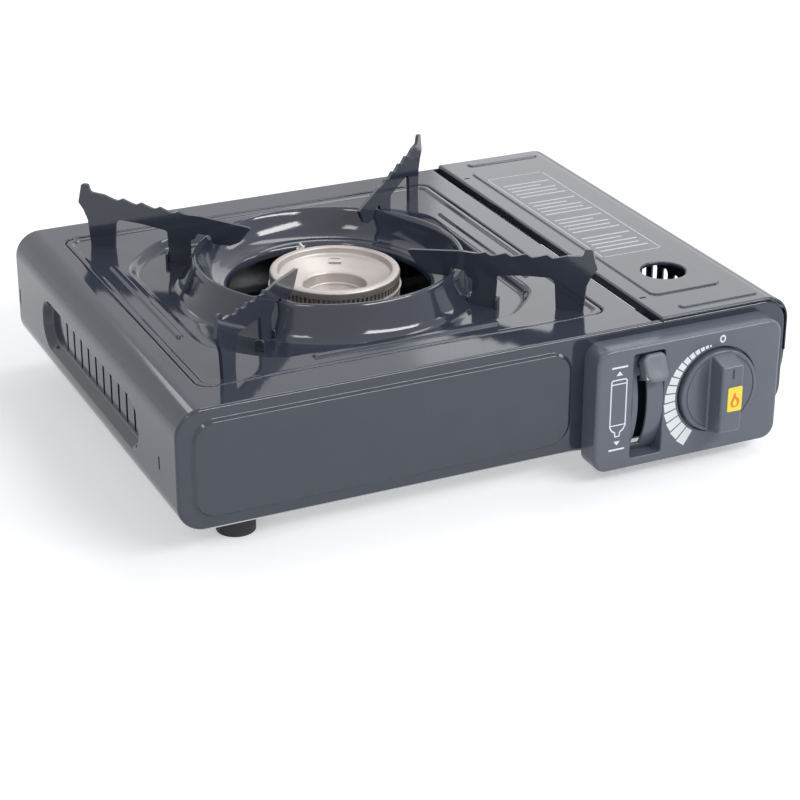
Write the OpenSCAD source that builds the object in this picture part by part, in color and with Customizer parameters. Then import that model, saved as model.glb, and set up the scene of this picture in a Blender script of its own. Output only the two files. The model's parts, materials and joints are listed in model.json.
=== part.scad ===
// Tabletop butane cassette stove: pressed steel body, lift-out drip tray with four pan
// supports, cast burner, hinged cartridge lid, control panel with gas knob and cartridge
// lever, and the carriage, regulator, igniter and gas path inside.
// Millimetres. +X is the cartridge side, -Y the control panel, +Z up.
// The origin is on the ground, under the middle of the whole outline.

/* [Body] */
// Width of the pressed body
body_w = 342; // [336:1:350]
// Depth of the pressed body, front wall to rear wall
body_d = 260.5; // [256:0.5:268]
// Height of the top deck above the ground
deck_z = 80; // [79:0.5:84]
// Height of the lower edge of the walls above the ground
wall_z = 16; // [14:0.5:18]
// Thickness of the pressed body sheet
sheet = 1; // [0.8:0.1:1.2]
// Radius of the rolled long edges of the body
roll_r = 14; // [11:0.5:16]
// Depth that the front panel pressing stands out
front_bead_out = 1.8; // [1:0.2:2.4]
// Width of the front panel pressing
front_bead_w = 203.5; // [190:0.5:206]
// Height of the front panel pressing
front_bead_h = 51.5; // [44:0.5:53]

/* [Side recess] */
// Length of the ventilated recess in the left wall
recess_len = 159; // [150:1:164]
// Height of the ventilated recess
recess_h = 30; // [28:1:32]
// Depth of the ventilated recess
recess_depth = 5; // [3:0.5:7]
// Spacing of the left vents
vent_pitch = 12.2; // [11:0.2:12.6]
// Width of a left vent
vent_w = 2.2; // [1.6:0.2:3]
// Height of a left vent
vent_h = 18; // [14:1:20]

/* [Feet and base] */
// Height of the feet below the base pan
foot_h = 9.5; // [8:0.5:10.5]
// Radius of a foot
foot_r = 11; // [8:0.5:13]
// Thickness of the base pan sheet
base_t = 1; // [0.8:0.1:1.2]
// Gap between the base pan and the walls
base_inset = 9; // [8:0.5:12]

/* [Drip tray] */
// Width of the drip tray
tray_w = 222.8; // [219:0.2:224]
// Depth of the drip tray
tray_d = 215.8; // [212:0.2:218]
// Gap all round between the tray and its recess in the deck
tray_gap = 0.6; // [0.4:0.1:1]
// Width of the ledge that carries the tray
ledge_w = 7; // [5:0.5:8]
// Sheet thickness of the tray
tray_t = 1; // [0.8:0.1:1.2]
// Drop from the tray land to the round basin
basin_drop = 5.2; // [4:0.2:6]
// Radius of the round basin
basin_r = 110; // [108:0.5:112]
// Rim radius of the raised ring around the burner
ring_r = 71.8; // [70:0.2:73]
// Height of the ring rim above the basin
ring_h = 17.9; // [16:0.1:18.2]
// Radius of the opening inside the ring
ring_hole_r = 54; // [50:0.5:56]

/* [Pan supports] */
// Sheet thickness of a pan support
blade_t = 1.8; // [1.5:0.1:2.4]
// Reach of a pan support from the ring centre
blade_reach = 147.5; // [146:0.5:149]
// Spacing of the anti-slip teeth
tooth_pitch = 11.1; // [10:0.1:12]
// Depth of the anti-slip teeth
tooth_drop = 1.6; // [1:0.1:2]

/* [Burner] */
// Outer radius of the burner cap
cap_r = 35.8; // [34:0.2:38]
// Height of the top of the burner cap above the ground
cap_top_z = 83.3; // [82:0.1:85]
// Radius of the well in the middle of the burner cap
well_r = 17; // [15:0.5:19]
// Number of flame ports
ports = 48; // [36:1:56]
// Width of a flame port
port_w = 1.6; // [1:0.1:1.8]
// Outer radius of the mixing tube
mix_r = 9; // [7:0.5:9.5]
// Wall of the mixing tube
mix_t = 1; // [0.8:0.1:1.5]

/* [Lid] */
// Height of the lid above the deck
lid_step = 1.7; // [1.2:0.1:2.4]
// Width of the groove between the deck and the lid
lid_groove = 3; // [2:0.2:4]
// Radius of the viewing hole
view_r = 12.1; // [10:0.1:13]
// Radius of the lid hinge pins
hinge_pin_r = 2.5; // [2:0.1:3]
// Radial running clearance of every pin and shaft
run_fit = 0.05; // [0.02:0.01:0.1]
// Spacing of the vents in the lid side
side_vent_pitch = 11.75; // [10:0.25:13]
// Width of a vent in the lid side
side_vent_w = 5.5; // [4:0.5:6.5]

/* [Control panel] */
// Width of the control panel
panel_w = 109.4; // [108:0.2:112]
// Height of the control panel
panel_h = 68; // [67:0.5:70]
// How far the control panel stands out from the front wall
panel_out = 14; // [12:0.5:16]
// Wall of the control panel moulding
panel_t = 2.5; // [2:0.1:3]
// Corner radius of the control panel
panel_r = 8; // [6:0.5:10]
// Radius of the knob
knob_r = 22.5; // [20:0.5:24]
// How far the knob stands out from the panel
knob_out = 14.5; // [12:0.5:16]
// Depth of the round seat the knob sits in
knob_seat = 2.5; // [1.5:0.5:3]
// Radius of the valve spindle
spindle_r = 4; // [3:0.25:5]

/* [Cartridge lever] */
// Radius of the arched lever guide
arch_r = 40; // [38:0.5:41]
// Width of the lever slot
slot_w = 5.4; // [4.4:0.2:6]
// Thickness of the lever plate
lever_t = 2.4; // [2:0.1:3]
// Angle of the lever above level at rest
lever_up = 24; // [20:0.5:26]
// Angle the lever swings down through
lever_swing = 51; // [46:1:52]
// Radius of the lever pivot pin
lever_pin_r = 3; // [2.5:0.1:3.5]
// Travel of the cartridge carriage
carriage_travel = 10; // [8:0.5:11]
// Height of the carriage pin above the lever pivot
drive_arm = 12; // [10.5:0.5:13]
// Radius of the carriage drive pin
drive_pin_r = 2; // [1.5:0.1:2.5]

/* [Cartridge bay] */
// Radius of the gas cartridge that the bay takes
can_r = 33.5; // [33:0.1:34]
// Length of the gas cartridge that the bay takes
can_len = 185; // [183:1:187]
// Distance from the right-hand side of the body to the cartridge axis
can_from_side = 43; // [42:0.5:44]
// Clearance between the cartridge and its cradle
can_gap = 0.8; // [0.5:0.1:1.2]
// Sheet thickness of the carriage, brackets and cradle
plate_t = 1.5; // [1.2:0.1:2]

/* [Igniter] */
// Smallest radius of the spiral cam
cam_r = 9; // [8:0.5:10]
// Travel of the igniter plunger
strike = 4; // [3:0.25:5]
// Angle the knob turns through
knob_turn = 150; // [120:5:160]

/* [Hidden] */

$fn = 64;
cut = 1;                // overshoot of a cut past the face it opens
seat = 0.3;             // clearance between pieces of different bodies that rest together

// Frame: the whole outline, knob face to rear wall, is centred on Y = 0.
rear_y = (body_d + panel_out + knob_out + 0.3) / 2;
front_y = rear_y - body_d;
left_x = -body_w / 2;
right_x = body_w / 2;
panel_y = front_y - panel_out;

// Cartridge axis, along Y
can_x = right_x - can_from_side;
can_z = foot_h + base_t + plate_t + can_gap + can_r;
bay_x = right_x - 81;   // right-hand edge of the deck, where the lid groove starts
lid_x = bay_x + lid_groove;
lid_z = deck_z + lid_step;
partition_x = bay_x - 4;

// Drip tray
tray_x0 = left_x + 21 + tray_gap;
tray_y0 = front_y + 22 + tray_gap;
tray_x1 = tray_x0 + tray_w;
tray_y1 = tray_y0 + tray_d;
tray_r = 7;
tray_flange_w = 8;
land_z = deck_z - 0.3;
basin_z = land_z - basin_drop;
ring_x = left_x + 135.3;
ring_y = front_y + 130;
recess_floor_z = land_z - tray_t - seat;

// Burner
burner_x = ring_x + 3.3;
burner_y = ring_y - 0.4;
cap_z = cap_top_z - 12.6;
bowl_r = cap_r - 3.4;
bowl_z = 50;
base_floor_z = foot_h + base_t;
base_x0 = left_x + base_inset;
base_x1 = right_x - base_inset - 1.6;
base_border = 12;       // width of the pan's border at the front and sides
base_rear_border = 8;

// Gas path: the mixing tube runs from the burner bowl towards the regulator and ends beside the bay.
jet_room = 31.14;       // from the jet's seat to the bay's edge
jet_reach = 66.3;       // how far in front of the burner the jet's seat lies
mix_run = [bay_x - jet_room - burner_x, -jet_reach];
mix_a = atan2(mix_run.y, mix_run.x);
mix_z = 60.5;
mix_len = norm(mix_run) - bowl_r + 3.6;

// Control panel
panel_x0 = right_x - 13.2 - panel_w;
panel_z0 = 7.5;
knob_x = panel_x0 + panel_w - 38.1;
ridge_half = 6.6;       // half width of the knob's grip ridge
reg_x0 = knob_x - 19.7;
reg_x1 = knob_x + 22.3;
knob_z = 42.7;
window_x0 = panel_x0 + 11.6;
window_x1 = panel_x0 + panel_w - 2;
window_z0 = wall_z + 6;
window_z1 = 66;

// Lever
lever_x = panel_x0 + 26.9;
pivot_y = panel_y + arch_r;
pivot_z = 42;
arch_x0 = lever_x - 9.3;
arch_x1 = lever_x + 11.7;
arch_z0 = 13;
arch_z1 = 71;
bracket_x = lever_x - 7.3;
drive_y = carriage_travel / 2;
drive_k = carriage_travel / lever_swing;    // mm per degree

// Igniter cam: its radius grows steadily over the knob's turn.
cam_k = strike / knob_turn;                 // mm per degree
cam_y = front_y - 4.5;
cam_t = 3;
piezo_half = 4;         // half width of the igniter across its plunger
regulator_front_y = cam_y + cam_t / 2 + piezo_half;
regulator_back_y = regulator_front_y + 38;
socket_len = 7;

// Fasteners and lid hinge
panel_screw_xz = [for (x = [panel_x0 + 7.5, panel_x0 + panel_w - 11], z = [wall_z + 4.4, 70])
    [x, z]];
base_screw_xy = [for (x = [base_x0 + 7.2, base_x1 - 7.6], y = [-70, 90]) [x, y]];
foot_xy = [for (x = [left_x + 38, right_x - 31], y = [front_y + 24, rear_y - 32]) [x, y]];
lid_t = 1;
lid_bottom_z = wall_z + 6;
hinge_x = right_x - 5.5;
hinge_z = lid_bottom_z + 5;
ear_r = 4.6;
ear_top_z = hinge_z + 22;
lid_panel_h = 0.8;      // height that the pressed panel and beads stand up

// Pan supports
blade_angles = [45, 135, -135, -45];
foot_tab = 6;           // width of the tab under each foot of a pan support
inner_foot_r = 87;
outer_foot_r = blade_reach - 13.7;
top_rise = 0.0887;
tooth_r0 = blade_reach - 60.2;
support_outline = concat(
    [[44.6, top_z(44.6) - 0.4], [tooth_r0 - 12.5, top_z(tooth_r0 - 12.5)], [tooth_r0 - 4.2, top_z(tooth_r0 - 4.2) - 0.8]],
    [for (i = [0:3]) each [[tooth_r0 + i * tooth_pitch, top_z(tooth_r0 + i * tooth_pitch)],
        [tooth_r0 + i * tooth_pitch + 3.9,
            top_z(tooth_r0 + i * tooth_pitch + 3.9) - tooth_drop]]],
    [[tooth_r0 + 4 * tooth_pitch, top_z(tooth_r0 + 4 * tooth_pitch)],
        [blade_reach - 7.5, top_z(blade_reach - 7.5)],
        [blade_reach - 6, top_z(blade_reach) + 3.6], [blade_reach - 2.5, top_z(blade_reach) + 3.6],
        [blade_reach, basin_z + 28.5], [blade_reach - 2.7, basin_z + 24.4],
        [blade_reach - 5.2, basin_z + 18.5], [blade_reach - 6.5, land_z + seat],
        [blade_reach - 21, land_z + seat], [blade_reach - 22, basin_z + 18.5],
        [blade_reach - 24.9, basin_z + 20.9], [109.8, basin_z + 20.3], [94, basin_z + 18.2], [93.4, basin_z + seat],
        [79 + 1.9, basin_z + seat], [79 + 1.9, basin_z + 13.4], [78, basin_z + 15.4],
        [76.4, basin_z + ring_h + 1], [68.4, basin_z + ring_h + 1],
        [67, basin_z + ring_h - 3.6], [57, basin_z + 14.4], [50.4, basin_z + 17.9]]);

// Burner fixings and gas path
burner_screw_xy = [[0, 11], [0, -11]];
mix_dir = [cos(mix_a), sin(mix_a), 0];
jet_base = [burner_x, burner_y, mix_z] + mix_dir * (bowl_r - 3.6 + mix_len);
pipe_r = 2.5;
pipe_z = 67;             // height of the pipe where it enters the regulator
pipe_end_x = reg_x0;
pipe_start = jet_base + mix_dir * 2.2;
pipe_route = [pipe_start, jet_base + mix_dir * 9, [bay_x - 16, front_y + 51.85, pipe_z - 1],
    [bay_x - 6, front_y + 43.85, pipe_z],
    [pipe_end_x - 9, regulator_back_y - 9, pipe_z], [pipe_end_x - 3, regulator_back_y - 10, pipe_z],
    [pipe_end_x + 4, regulator_back_y - 10, pipe_z]];
electrode_p = [ring_x + 1, burner_y + 42, 0];

// Regulator and cartridge socket
reg_z0 = 26;
reg_z1 = 72;
cover_z = 50;
cover_y = regulator_front_y + 19;
cover_screw_yz = [for (a = [45:90:315]) [cover_y + 12 * cos(a), cover_z + 12 * sin(a)]];
socket_r = 17.5;

// Igniter
cam_sweep = knob_turn + 12;
plunger_r = 2.4;
piezo_x0 = knob_x + cam_r + strike + 2.3;
piezo_x1 = piezo_x0 + 19;
piezo_back_y = cam_y + cam_t / 2 + piezo_half;
lead_x = piezo_x1 - 5;

// Carriage channel and spring
cradle_half = 21;       // half width of a cradle arm, less than its block's
channel_x0 = bay_x;
channel_x1 = bay_x + 10;
spring_y = 24;          // fixed end of the return spring
spring_len = 44;

// ---------- helpers ----------

// Rectangle with round corners, from one corner to the other.
module rrect(x0, y0, x1, y1, r) {
    translate([x0 + r, y0]) square([x1 - x0 - 2 * r, y1 - y0]);
    translate([x0, y0 + r]) square([x1 - x0, y1 - y0 - 2 * r]);
    for (x = [x0 + r, x1 - r], y = [y0 + r, y1 - r]) translate([x, y]) circle(r);
}

// Extrude an (x, z) outline along Y, from y0 to y1.
module along_y(y0, y1) {
    translate([0, y1, 0]) rotate([90, 0, 0]) linear_extrude(y1 - y0) children();
}

// Extrude a (y, z) outline along X, from x0 to x1.
module along_x(x0, x1) {
    translate([x0, 0, 0]) rotate([90, 0, 90]) linear_extrude(x1 - x0) children();
}

// Extrude an (x, y) outline along Z, from z0 to z1.
module along_z(z0, z1) {
    translate([0, 0, z0]) linear_extrude(z1 - z0) children();
}

module box(x0, y0, z0, x1, y1, z1) {
    translate([x0, y0, z0]) cube([x1 - x0, y1 - y0, z1 - z0]);
}

module rod_x(x0, x1, y, z, r) {
    translate([x0, y, z]) rotate([0, 90, 0]) cylinder(h = x1 - x0, r = r);
}

module rod_y(x, y0, y1, z, r) {
    translate([x, y1, z]) rotate([90, 0, 0]) cylinder(h = y1 - y0, r = r);
}

// Corner cutting: each pass replaces a corner of the route by two points.
function smooth(p, passes) = passes == 0 ? p : smooth(concat([p[0]],
    [for (i = [0:len(p) - 2]) each [if (i > 0) p[i] * 0.75 + p[i + 1] * 0.25,
        if (i < len(p) - 2) p[i] * 0.25 + p[i + 1] * 0.75]],
    [p[len(p) - 1]]), passes - 1);

function heading(p, i) = unit(p[min(i + 1, len(p) - 1)] - p[max(i - 1, 0)]);
function square_to(v, t) = unit(v - (v * t) * t);

// A solid rod swept along a route. Its first cross-section is turned to the vector side.
module swept_rod(p, r, sides, side) {
    last = len(p) - 1;
    normals = [for (i = 0, n = square_to(side, heading(p, 0)); i <= last;
        i = i + 1, n = square_to(n, heading(p, min(i, last)))) n];
    points = [for (i = [0:last], j = [0:sides - 1])
        let (a = 360 * j / sides, n = normals[i], b = cross(heading(p, i), n))
        p[i] + r * (cos(a) * n + sin(a) * b)];
    walls = [for (i = [0:last - 1], j = [0:sides - 1])
        let (a = i * sides + j, b = i * sides + (j + 1) % sides)
        each [[a, a + sides, b], [b, a + sides, b + sides]]];
    polyhedron(points, concat(walls, [[for (j = [0:sides - 1]) j],
        [for (j = [sides - 1:-1:0]) last * sides + j]]), convexity = 8);
}

// A pan-head screw: its head's underside is at the origin and its shank points down.
module screw(shank, r = 1.5) {
    translate([0, 0, -shank]) cylinder(h = shank, r = r);
    difference() {
        cylinder(h = 1.6, r = 2 * r);
        translate([-2.2 * r, -0.4, 0.9]) cube([4.4 * r, 0.8, cut]);
    }
}

// Offset of a polyline to one side, by the mitre at each point.
function unit(v) = v / norm(v);
function left_of(v) = [-v.y, v.x];
function mitre(p, i, d) =
    let (a = i > 0 ? left_of(unit(p[i] - p[i - 1])) : left_of(unit(p[1] - p[0])),
         b = i < len(p) - 1 ? left_of(unit(p[i + 1] - p[i])) : a,
         m = unit(a + b))
    p[i] + m * d / (m * a);

// A bent sheet of thickness t: its path runs along one face, and the sheet lies left of it.
module sheet_2d(p, t) {
    polygon(concat(p, [for (i = [len(p) - 1:-1:0]) mitre(p, i, t)]));
}

// ---------- body ----------

module front_bead(extra) {
    x0 = left_x + 8 - extra;
    z0 = wall_z + 6.5 - extra;
    along_y(front_y - front_bead_out, front_y + sheet)
        rrect(x0, z0, x0 + front_bead_w + 2 * extra, z0 + front_bead_h + 2 * extra,
            12 + extra);
}

module recess_prism(grow, x1) {
    y0 = front_y + 52 - grow;
    z0 = 32 - grow;
    along_x(left_x - cut, x1)
        rrect(y0, z0, y0 + recess_len + 2 * grow, z0 + recess_h + 2 * grow,
            recess_h / 2 - 0.1 + grow);
}

module body_shell() color("#2b313a") {
    ledge_x0 = tray_x0 - tray_gap;
    ledge_y0 = tray_y0 - tray_gap;
    ledge_x1 = tray_x1 + tray_gap;
    ledge_y1 = tray_y1 + tray_gap;
    difference() {
        union() {
            difference() {
                along_y(front_y, rear_y)
                    rrect(left_x, wall_z, right_x - 1.6, deck_z, roll_r);
                difference() {
                    along_y(front_y + sheet, rear_y - sheet)
                        rrect(left_x + sheet, wall_z + sheet, right_x - 1.6 - sheet,
                            deck_z - sheet, roll_r - sheet);
                    recess_prism(sheet, left_x + recess_depth + sheet);
                }
                // bay opening, and the right wall above its sill
                box(bay_x, front_y + sheet, wall_z + sheet + 0.5, right_x + cut, rear_y - sheet,
                    deck_z + cut);
                // open bottom, inside a flange that the base pan is screwed to
                box(left_x + roll_r + 8, front_y + 8, wall_z - cut,
                    right_x - roll_r - 10, rear_y - 8, wall_z + sheet + cut);
            }
            // deck edge turned down along the bay
            box(bay_x - sheet, front_y + sheet, deck_z - 7, bay_x, rear_y - sheet,
                deck_z - sheet);
            // front panel pressing
            front_bead(0);
            // ledge for the tray
            along_z(recess_floor_z - sheet, deck_z - sheet)
                rrect(ledge_x0 - sheet, ledge_y0 - sheet, ledge_x1 + sheet,
                    ledge_y1 + sheet, tray_r + tray_gap + sheet);
        }
        // hollow behind the front pressing
        translate([0, sheet, 0]) front_bead(-sheet);
        recess_prism(0, left_x + recess_depth);
        for (i = [0:10])
            box(left_x, front_y + 62 + i * vent_pitch - vent_w / 2, 43,
                left_x + recess_depth + sheet + cut,
                front_y + 62 + i * vent_pitch + vent_w / 2, 43 + vent_h - (i == 0 ? 6 : 0));
        // small slots at the ends of the left wall
        box(left_x - cut, front_y + 24.2, 40, left_x + sheet + cut, front_y + 25.8, 47);
        box(left_x - cut, rear_y - 5.3, 39, left_x + sheet + cut, rear_y - 3.7, 48);
        along_z(recess_floor_z, deck_z + cut)
            rrect(ledge_x0, ledge_y0, ledge_x1, ledge_y1, tray_r + tray_gap);
        along_z(recess_floor_z - sheet - cut, deck_z)
            rrect(ledge_x0 + ledge_w, ledge_y0 + ledge_w, ledge_x1 - ledge_w,
                ledge_y1 - ledge_w, tray_r);
        // window behind the control panel
        along_y(front_y - cut, front_y + sheet + cut)
            rrect(window_x0, window_z0, window_x1, window_z1, 3);
        // holes for the panel screws and the lid hinge pins
        for (p = panel_screw_xz)
            rod_y(p.x, front_y - cut, front_y + sheet + cut, p.y, 1.7);
        for (y = [front_y + sheet / 2, rear_y - sheet / 2])
            rod_y(hinge_x, y - sheet, y + sheet, hinge_z, hinge_pin_r);
        for (p = base_screw_xy)
            translate([p.x, p.y, wall_z - cut]) cylinder(h = sheet + 2 * cut, r = 1.7);
    }
}

module base_pan() color("#3a3f46") {
    y0 = front_y + 2;
    y1 = rear_y - 2;
    rim_z = wall_z - base_t;
    difference() {
        along_z(foot_h, rim_z + base_t) rrect(base_x0, y0, base_x1, y1, 6);
        along_z(foot_h + base_t, rim_z + base_t + cut)
            rrect(base_x0 + base_border, y0 + base_border, base_x1 - base_border,
                y1 - base_rear_border, 5);
        // the flange is only one sheet thick outside the drawn pan
        difference() {
            along_z(foot_h - cut, rim_z)
                rrect(base_x0 - cut, y0 - cut, base_x1 + cut, y1 + cut, 6);
            along_z(foot_h - 2 * cut, rim_z + cut)
                rrect(base_x0 + base_border - base_t, y0 + base_border - base_t,
                    base_x1 - base_border + base_t, y1 - base_rear_border + base_t, 6);
        }
        // air slots under the burner
        for (i = [0:6])
            along_z(foot_h - cut, foot_h + base_t + cut)
                rrect(burner_x - 60 + i * 20 - 2, burner_y - 75, burner_x - 60 + i * 20 + 2,
                    burner_y - 45, 1.9);
        // air slots under the cartridge
        for (i = [0:4])
            along_z(foot_h - cut, foot_h + base_t + cut)
                rrect(can_x - 12, -20 + i * 14 - 2, can_x + 12, -20 + i * 14 + 2, 1.9);
        for (p = base_screw_xy)
            translate([p.x, p.y, 0]) cylinder(h = deck_z, r = 1.7);
        for (p = foot_xy)
            translate([p.x, p.y, foot_h - cut]) cylinder(h = base_t + 2 * cut, r = 3);
    }
}

module rubber_feet() color("#1b1c1e") {
    for (p = foot_xy) translate([p.x, p.y, 0]) {
        cylinder(h = foot_h - 3, r = foot_r - 1);
        translate([0, 0, foot_h - 3]) cylinder(h = 3, r = foot_r);
        // a button through the pan holds the foot
        translate([0, 0, foot_h]) cylinder(h = base_t, r = 3 - 0.02);
        translate([0, 0, foot_h + base_t]) cylinder(h = 1.2, r = 4.5);
    }
}

module base_screws() color("#9a9da2") {
    for (p = base_screw_xy)
        translate([p.x, p.y, wall_z - base_t]) rotate([180, 0, 0]) screw(4.5);
}

// Sheet wall between the burner and the cartridge bay
module partition() color("#8f949b") {
    y0 = -40;
    y1 = rear_y - sheet - 1;
    difference() {
        union() {
            along_x(partition_x, partition_x + base_t)
                rrect(y0, base_floor_z, y1, deck_z - 2, 1);
            box(partition_x - 10, y0 + 20, base_floor_z, partition_x + base_t, y1 - 12,
                base_floor_z + base_t);
        }
        // cooling louvres
        for (i = [0:8])
            box(partition_x - cut, 0 + i * 14 - 1.5, 48, partition_x + base_t + cut,
                0 + i * 14 + 1.5, 70);
        // the pan's raised border and the body's flange pass under its rear end
        box(partition_x - 20, rear_y - 15.5, base_floor_z - cut, partition_x + 20, rear_y,
            wall_z + base_t + cut);
        // the turned-down deck edge passes beside it
    }
}

// ---------- control panel ----------

module panel_slot_sector(r0, r1, a0, a1, x0, x1) {
    // part of a cylinder about the lever pivot, between two angles above level
    translate([x0, pivot_y, pivot_z]) rotate([90, 0, 90]) linear_extrude(x1 - x0)
        polygon(concat([for (i = [0:12]) let (a = 180 - a0 + (a0 - a1) * i / 12)
                r1 * [cos(a), sin(a)]],
            [for (i = [12:-1:0]) let (a = 180 - a0 + (a0 - a1) * i / 12)
                r0 * [cos(a), sin(a)]]));
}

module arch_block(r) {
    intersection() {
        rod_x(arch_x0 - 0.5, arch_x1 + 0.5, pivot_y, pivot_z, r);
        box(arch_x0 - 0.5, panel_y - cut, arch_z0, arch_x1 + 0.5, front_y - 1, arch_z1);
    }
}

module control_panel() color("#3b3f45") {
    x1 = panel_x0 + panel_w;
    z1 = panel_z0 + panel_h;
    difference() {
        union() {
            difference() {
                along_y(panel_y, front_y)
                    rrect(panel_x0, panel_z0, x1, z1, panel_r);
                along_y(panel_y + panel_t, front_y + cut)
                    rrect(panel_x0 + panel_t, panel_z0 + panel_t, x1 - panel_t,
                        z1 - panel_t, panel_r - panel_t);
            }
            // walls of the lever recess
            box(arch_x0 - 1.5, panel_y + 1, arch_z0 - 1.5, arch_x1 + 1.5, front_y - 1,
                arch_z1 + 1.5);
            // seat of the knob
            rod_y(knob_x, panel_y + 1, panel_y + panel_t + knob_seat, knob_z,
                knob_r + 1 + 2);
            // bosses for the screws
            for (p = panel_screw_xz)
                rod_y(p.x, panel_y + panel_t - 0.5, front_y, p.y, 2.6);
        }
        // lever recess, open at the back of the arch
        box(arch_x0, panel_y - cut, arch_z0, arch_x1, front_y, arch_z1);
        // round seat of the knob, and the spindle hole
        rod_y(knob_x, panel_y - cut, panel_y + knob_seat, knob_z, knob_r + 1);
        rod_y(knob_x, panel_y, front_y, knob_z, spindle_r + 0.5);
        for (p = panel_screw_xz)
            rod_y(p.x, panel_y + 6, front_y + cut, p.y, 1.5);
    }
    // arched lever guide with its slot
    difference() {
        arch_block(arch_r);
        arch_block(arch_r - 2);
        panel_slot_sector(arch_r - 4, arch_r + 3, lever_up + 8, lever_up - lever_swing - 7,
            lever_x - slot_w / 2, lever_x + slot_w / 2);
    }
}

module panel_screws() color("#9a9da2") {
    for (p = panel_screw_xz)
        translate([p.x, front_y + sheet, p.y]) rotate([-90, 0, 0]) screw(5);
}

// ---------- drip tray and pan supports ----------

module drip_tray() color("#262b33") {
    // sheet path of the ring, from the basin over the rim to the hole
    rim_z = basin_z + ring_h;
    path = [[ring_r + 11, basin_z], [ring_r + 9, basin_z], [ring_r + 5.6, basin_z + 1.6], [ring_r + 2.6, basin_z + 8],
        [ring_r + 1.2, basin_z + 14.5], [ring_r + 0.5, rim_z - 1], [ring_r, rim_z],
        [ring_r - 0.9, rim_z - 0.2], [ring_r - 2, rim_z - 2.2], [ring_r - 5.4, rim_z - 9],
        [ring_r - 9, basin_z + 4.6], [ring_r - 12, basin_z + 3.4],
        [ring_hole_r + 1, basin_z + 2.4], [ring_hole_r, basin_z + 1.4],
        [ring_hole_r, basin_z - 2]];
    difference() {
        union() {
            // land, with its edge flange turned to the ledge
            along_z(land_z - tray_t, land_z) rrect(tray_x0, tray_y0, tray_x1, tray_y1, tray_r);
            // round basin, clipped by the land along the sides
            intersection() {
                translate([ring_x, ring_y, basin_z - tray_t])
                    cylinder(h = basin_drop, r = basin_r + tray_t);
                along_z(basin_z - tray_t, land_z) tray_inner(0);
            }
        }
        intersection() {
            translate([ring_x, ring_y, basin_z]) cylinder(h = basin_drop + cut, r = basin_r);
            along_z(basin_z, land_z + cut) tray_inner(tray_t);
        }
        translate([ring_x, ring_y, basin_z - tray_t - cut])
            cylinder(h = tray_t + 2 * cut, r = ring_r + 10);
        for (a = blade_angles) on_ring(a) {
            slot_through(inner_foot_r);
            slot_through(outer_foot_r);
        }
    }
    translate([ring_x, ring_y, 0]) rotate_extrude($fn = 96) sheet_2d(path, tray_t);
    // stadium beads pressed up beside the basin
    for (b = [[tray_x0 + 11, ring_y - 45, tray_x0 + 15, ring_y + 62],
            [tray_x1 - 14, ring_y - 45, tray_x1 - 10, ring_y + 62],
            [ring_x - 50, tray_y0 + 11, ring_x + 54, tray_y0 + 15]])
        along_z(land_z - tray_t / 2, land_z + 0.8) rrect(b[0], b[1], b[2], b[3], 1.9);
}

module tray_inner(inset) {
    e = tray_flange_w + 10 + inset;
    rrect(tray_x0 + e, tray_y0 + e, tray_x1 - e, tray_y1 - e, tray_r + 6);
}

module on_ring(a) {
    translate([ring_x, ring_y, 0]) rotate([0, 0, a]) children();
}

module slot_through(r) {
    translate([r - foot_tab / 2 - 0.3, -blade_t / 2 - 0.3, basin_z - tray_t - cut])
        cube([foot_tab + 0.6, blade_t + 0.6, basin_drop + tray_t + 2 * cut]);
}

// Outline of a pan support in its own plane: distance from the ring centre, and height.
function top_z(r) = basin_z + 29.1 + (r - 74.8) * top_rise;

module support_plate(a) {
    on_ring(a) rotate([90, 0, 0]) translate([0, 0, -blade_t / 2])
        linear_extrude(blade_t) {
            polygon([for (i = [len(support_outline) - 1:-1:0]) support_outline[i]]);
            // tabs that pass through the tray
            translate([outer_foot_r - foot_tab / 2, land_z - tray_t - 1.5])
                square([foot_tab, tray_t + 1.5 + seat + 1]);
            translate([inner_foot_r - foot_tab / 2, basin_z - tray_t - 1.5])
                square([foot_tab, tray_t + 1.5 + seat + 1]);
        }
}

module pan_support_rear_right() color("#1f242c") support_plate(blade_angles[0]);
module pan_support_rear_left() color("#1f242c") support_plate(blade_angles[1]);
module pan_support_front_left() color("#1f242c") support_plate(blade_angles[2]);
module pan_support_front_right() color("#1f242c") support_plate(blade_angles[3]);

// ---------- burner ----------

module at_burner() {
    translate([burner_x, burner_y, 0]) children();
}

module burner_cap() color("#c9bfb2") {
    at_burner() difference() {
        rotate_extrude($fn = 96) polygon([[0, cap_z + 1], [well_r + 1.5, cap_z + 1],
            [well_r + 1.5, cap_z], [bowl_r + 2, cap_z], [bowl_r + 2, cap_z + 3.6],
            [cap_r - 1, cap_z + 3.6], [cap_r, cap_z + 4.6], [cap_r, cap_top_z - 1.6],
            [cap_r - 1.6, cap_top_z], [cap_r - 4.6, cap_top_z], [cap_r - 5.8, cap_top_z - 0.8],
            [well_r, cap_top_z - 8.8], [well_r, cap_z + 2.2], [0, cap_z + 2.2]]);
        // hollow mixing space under the cap
        rotate_extrude($fn = 96) polygon([[well_r + 3, cap_z - cut], [bowl_r - 1.4, cap_z - cut],
            [bowl_r - 1.4, cap_top_z - 3], [well_r + 3, cap_top_z - 9.4]]);
        for (i = [0:ports - 1]) rotate([0, 0, i * 360 / ports])
            translate([bowl_r - 3, -port_w / 2, cap_z - cut])
                cube([8, port_w, 3.2 + cut]);
    }
}

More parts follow.
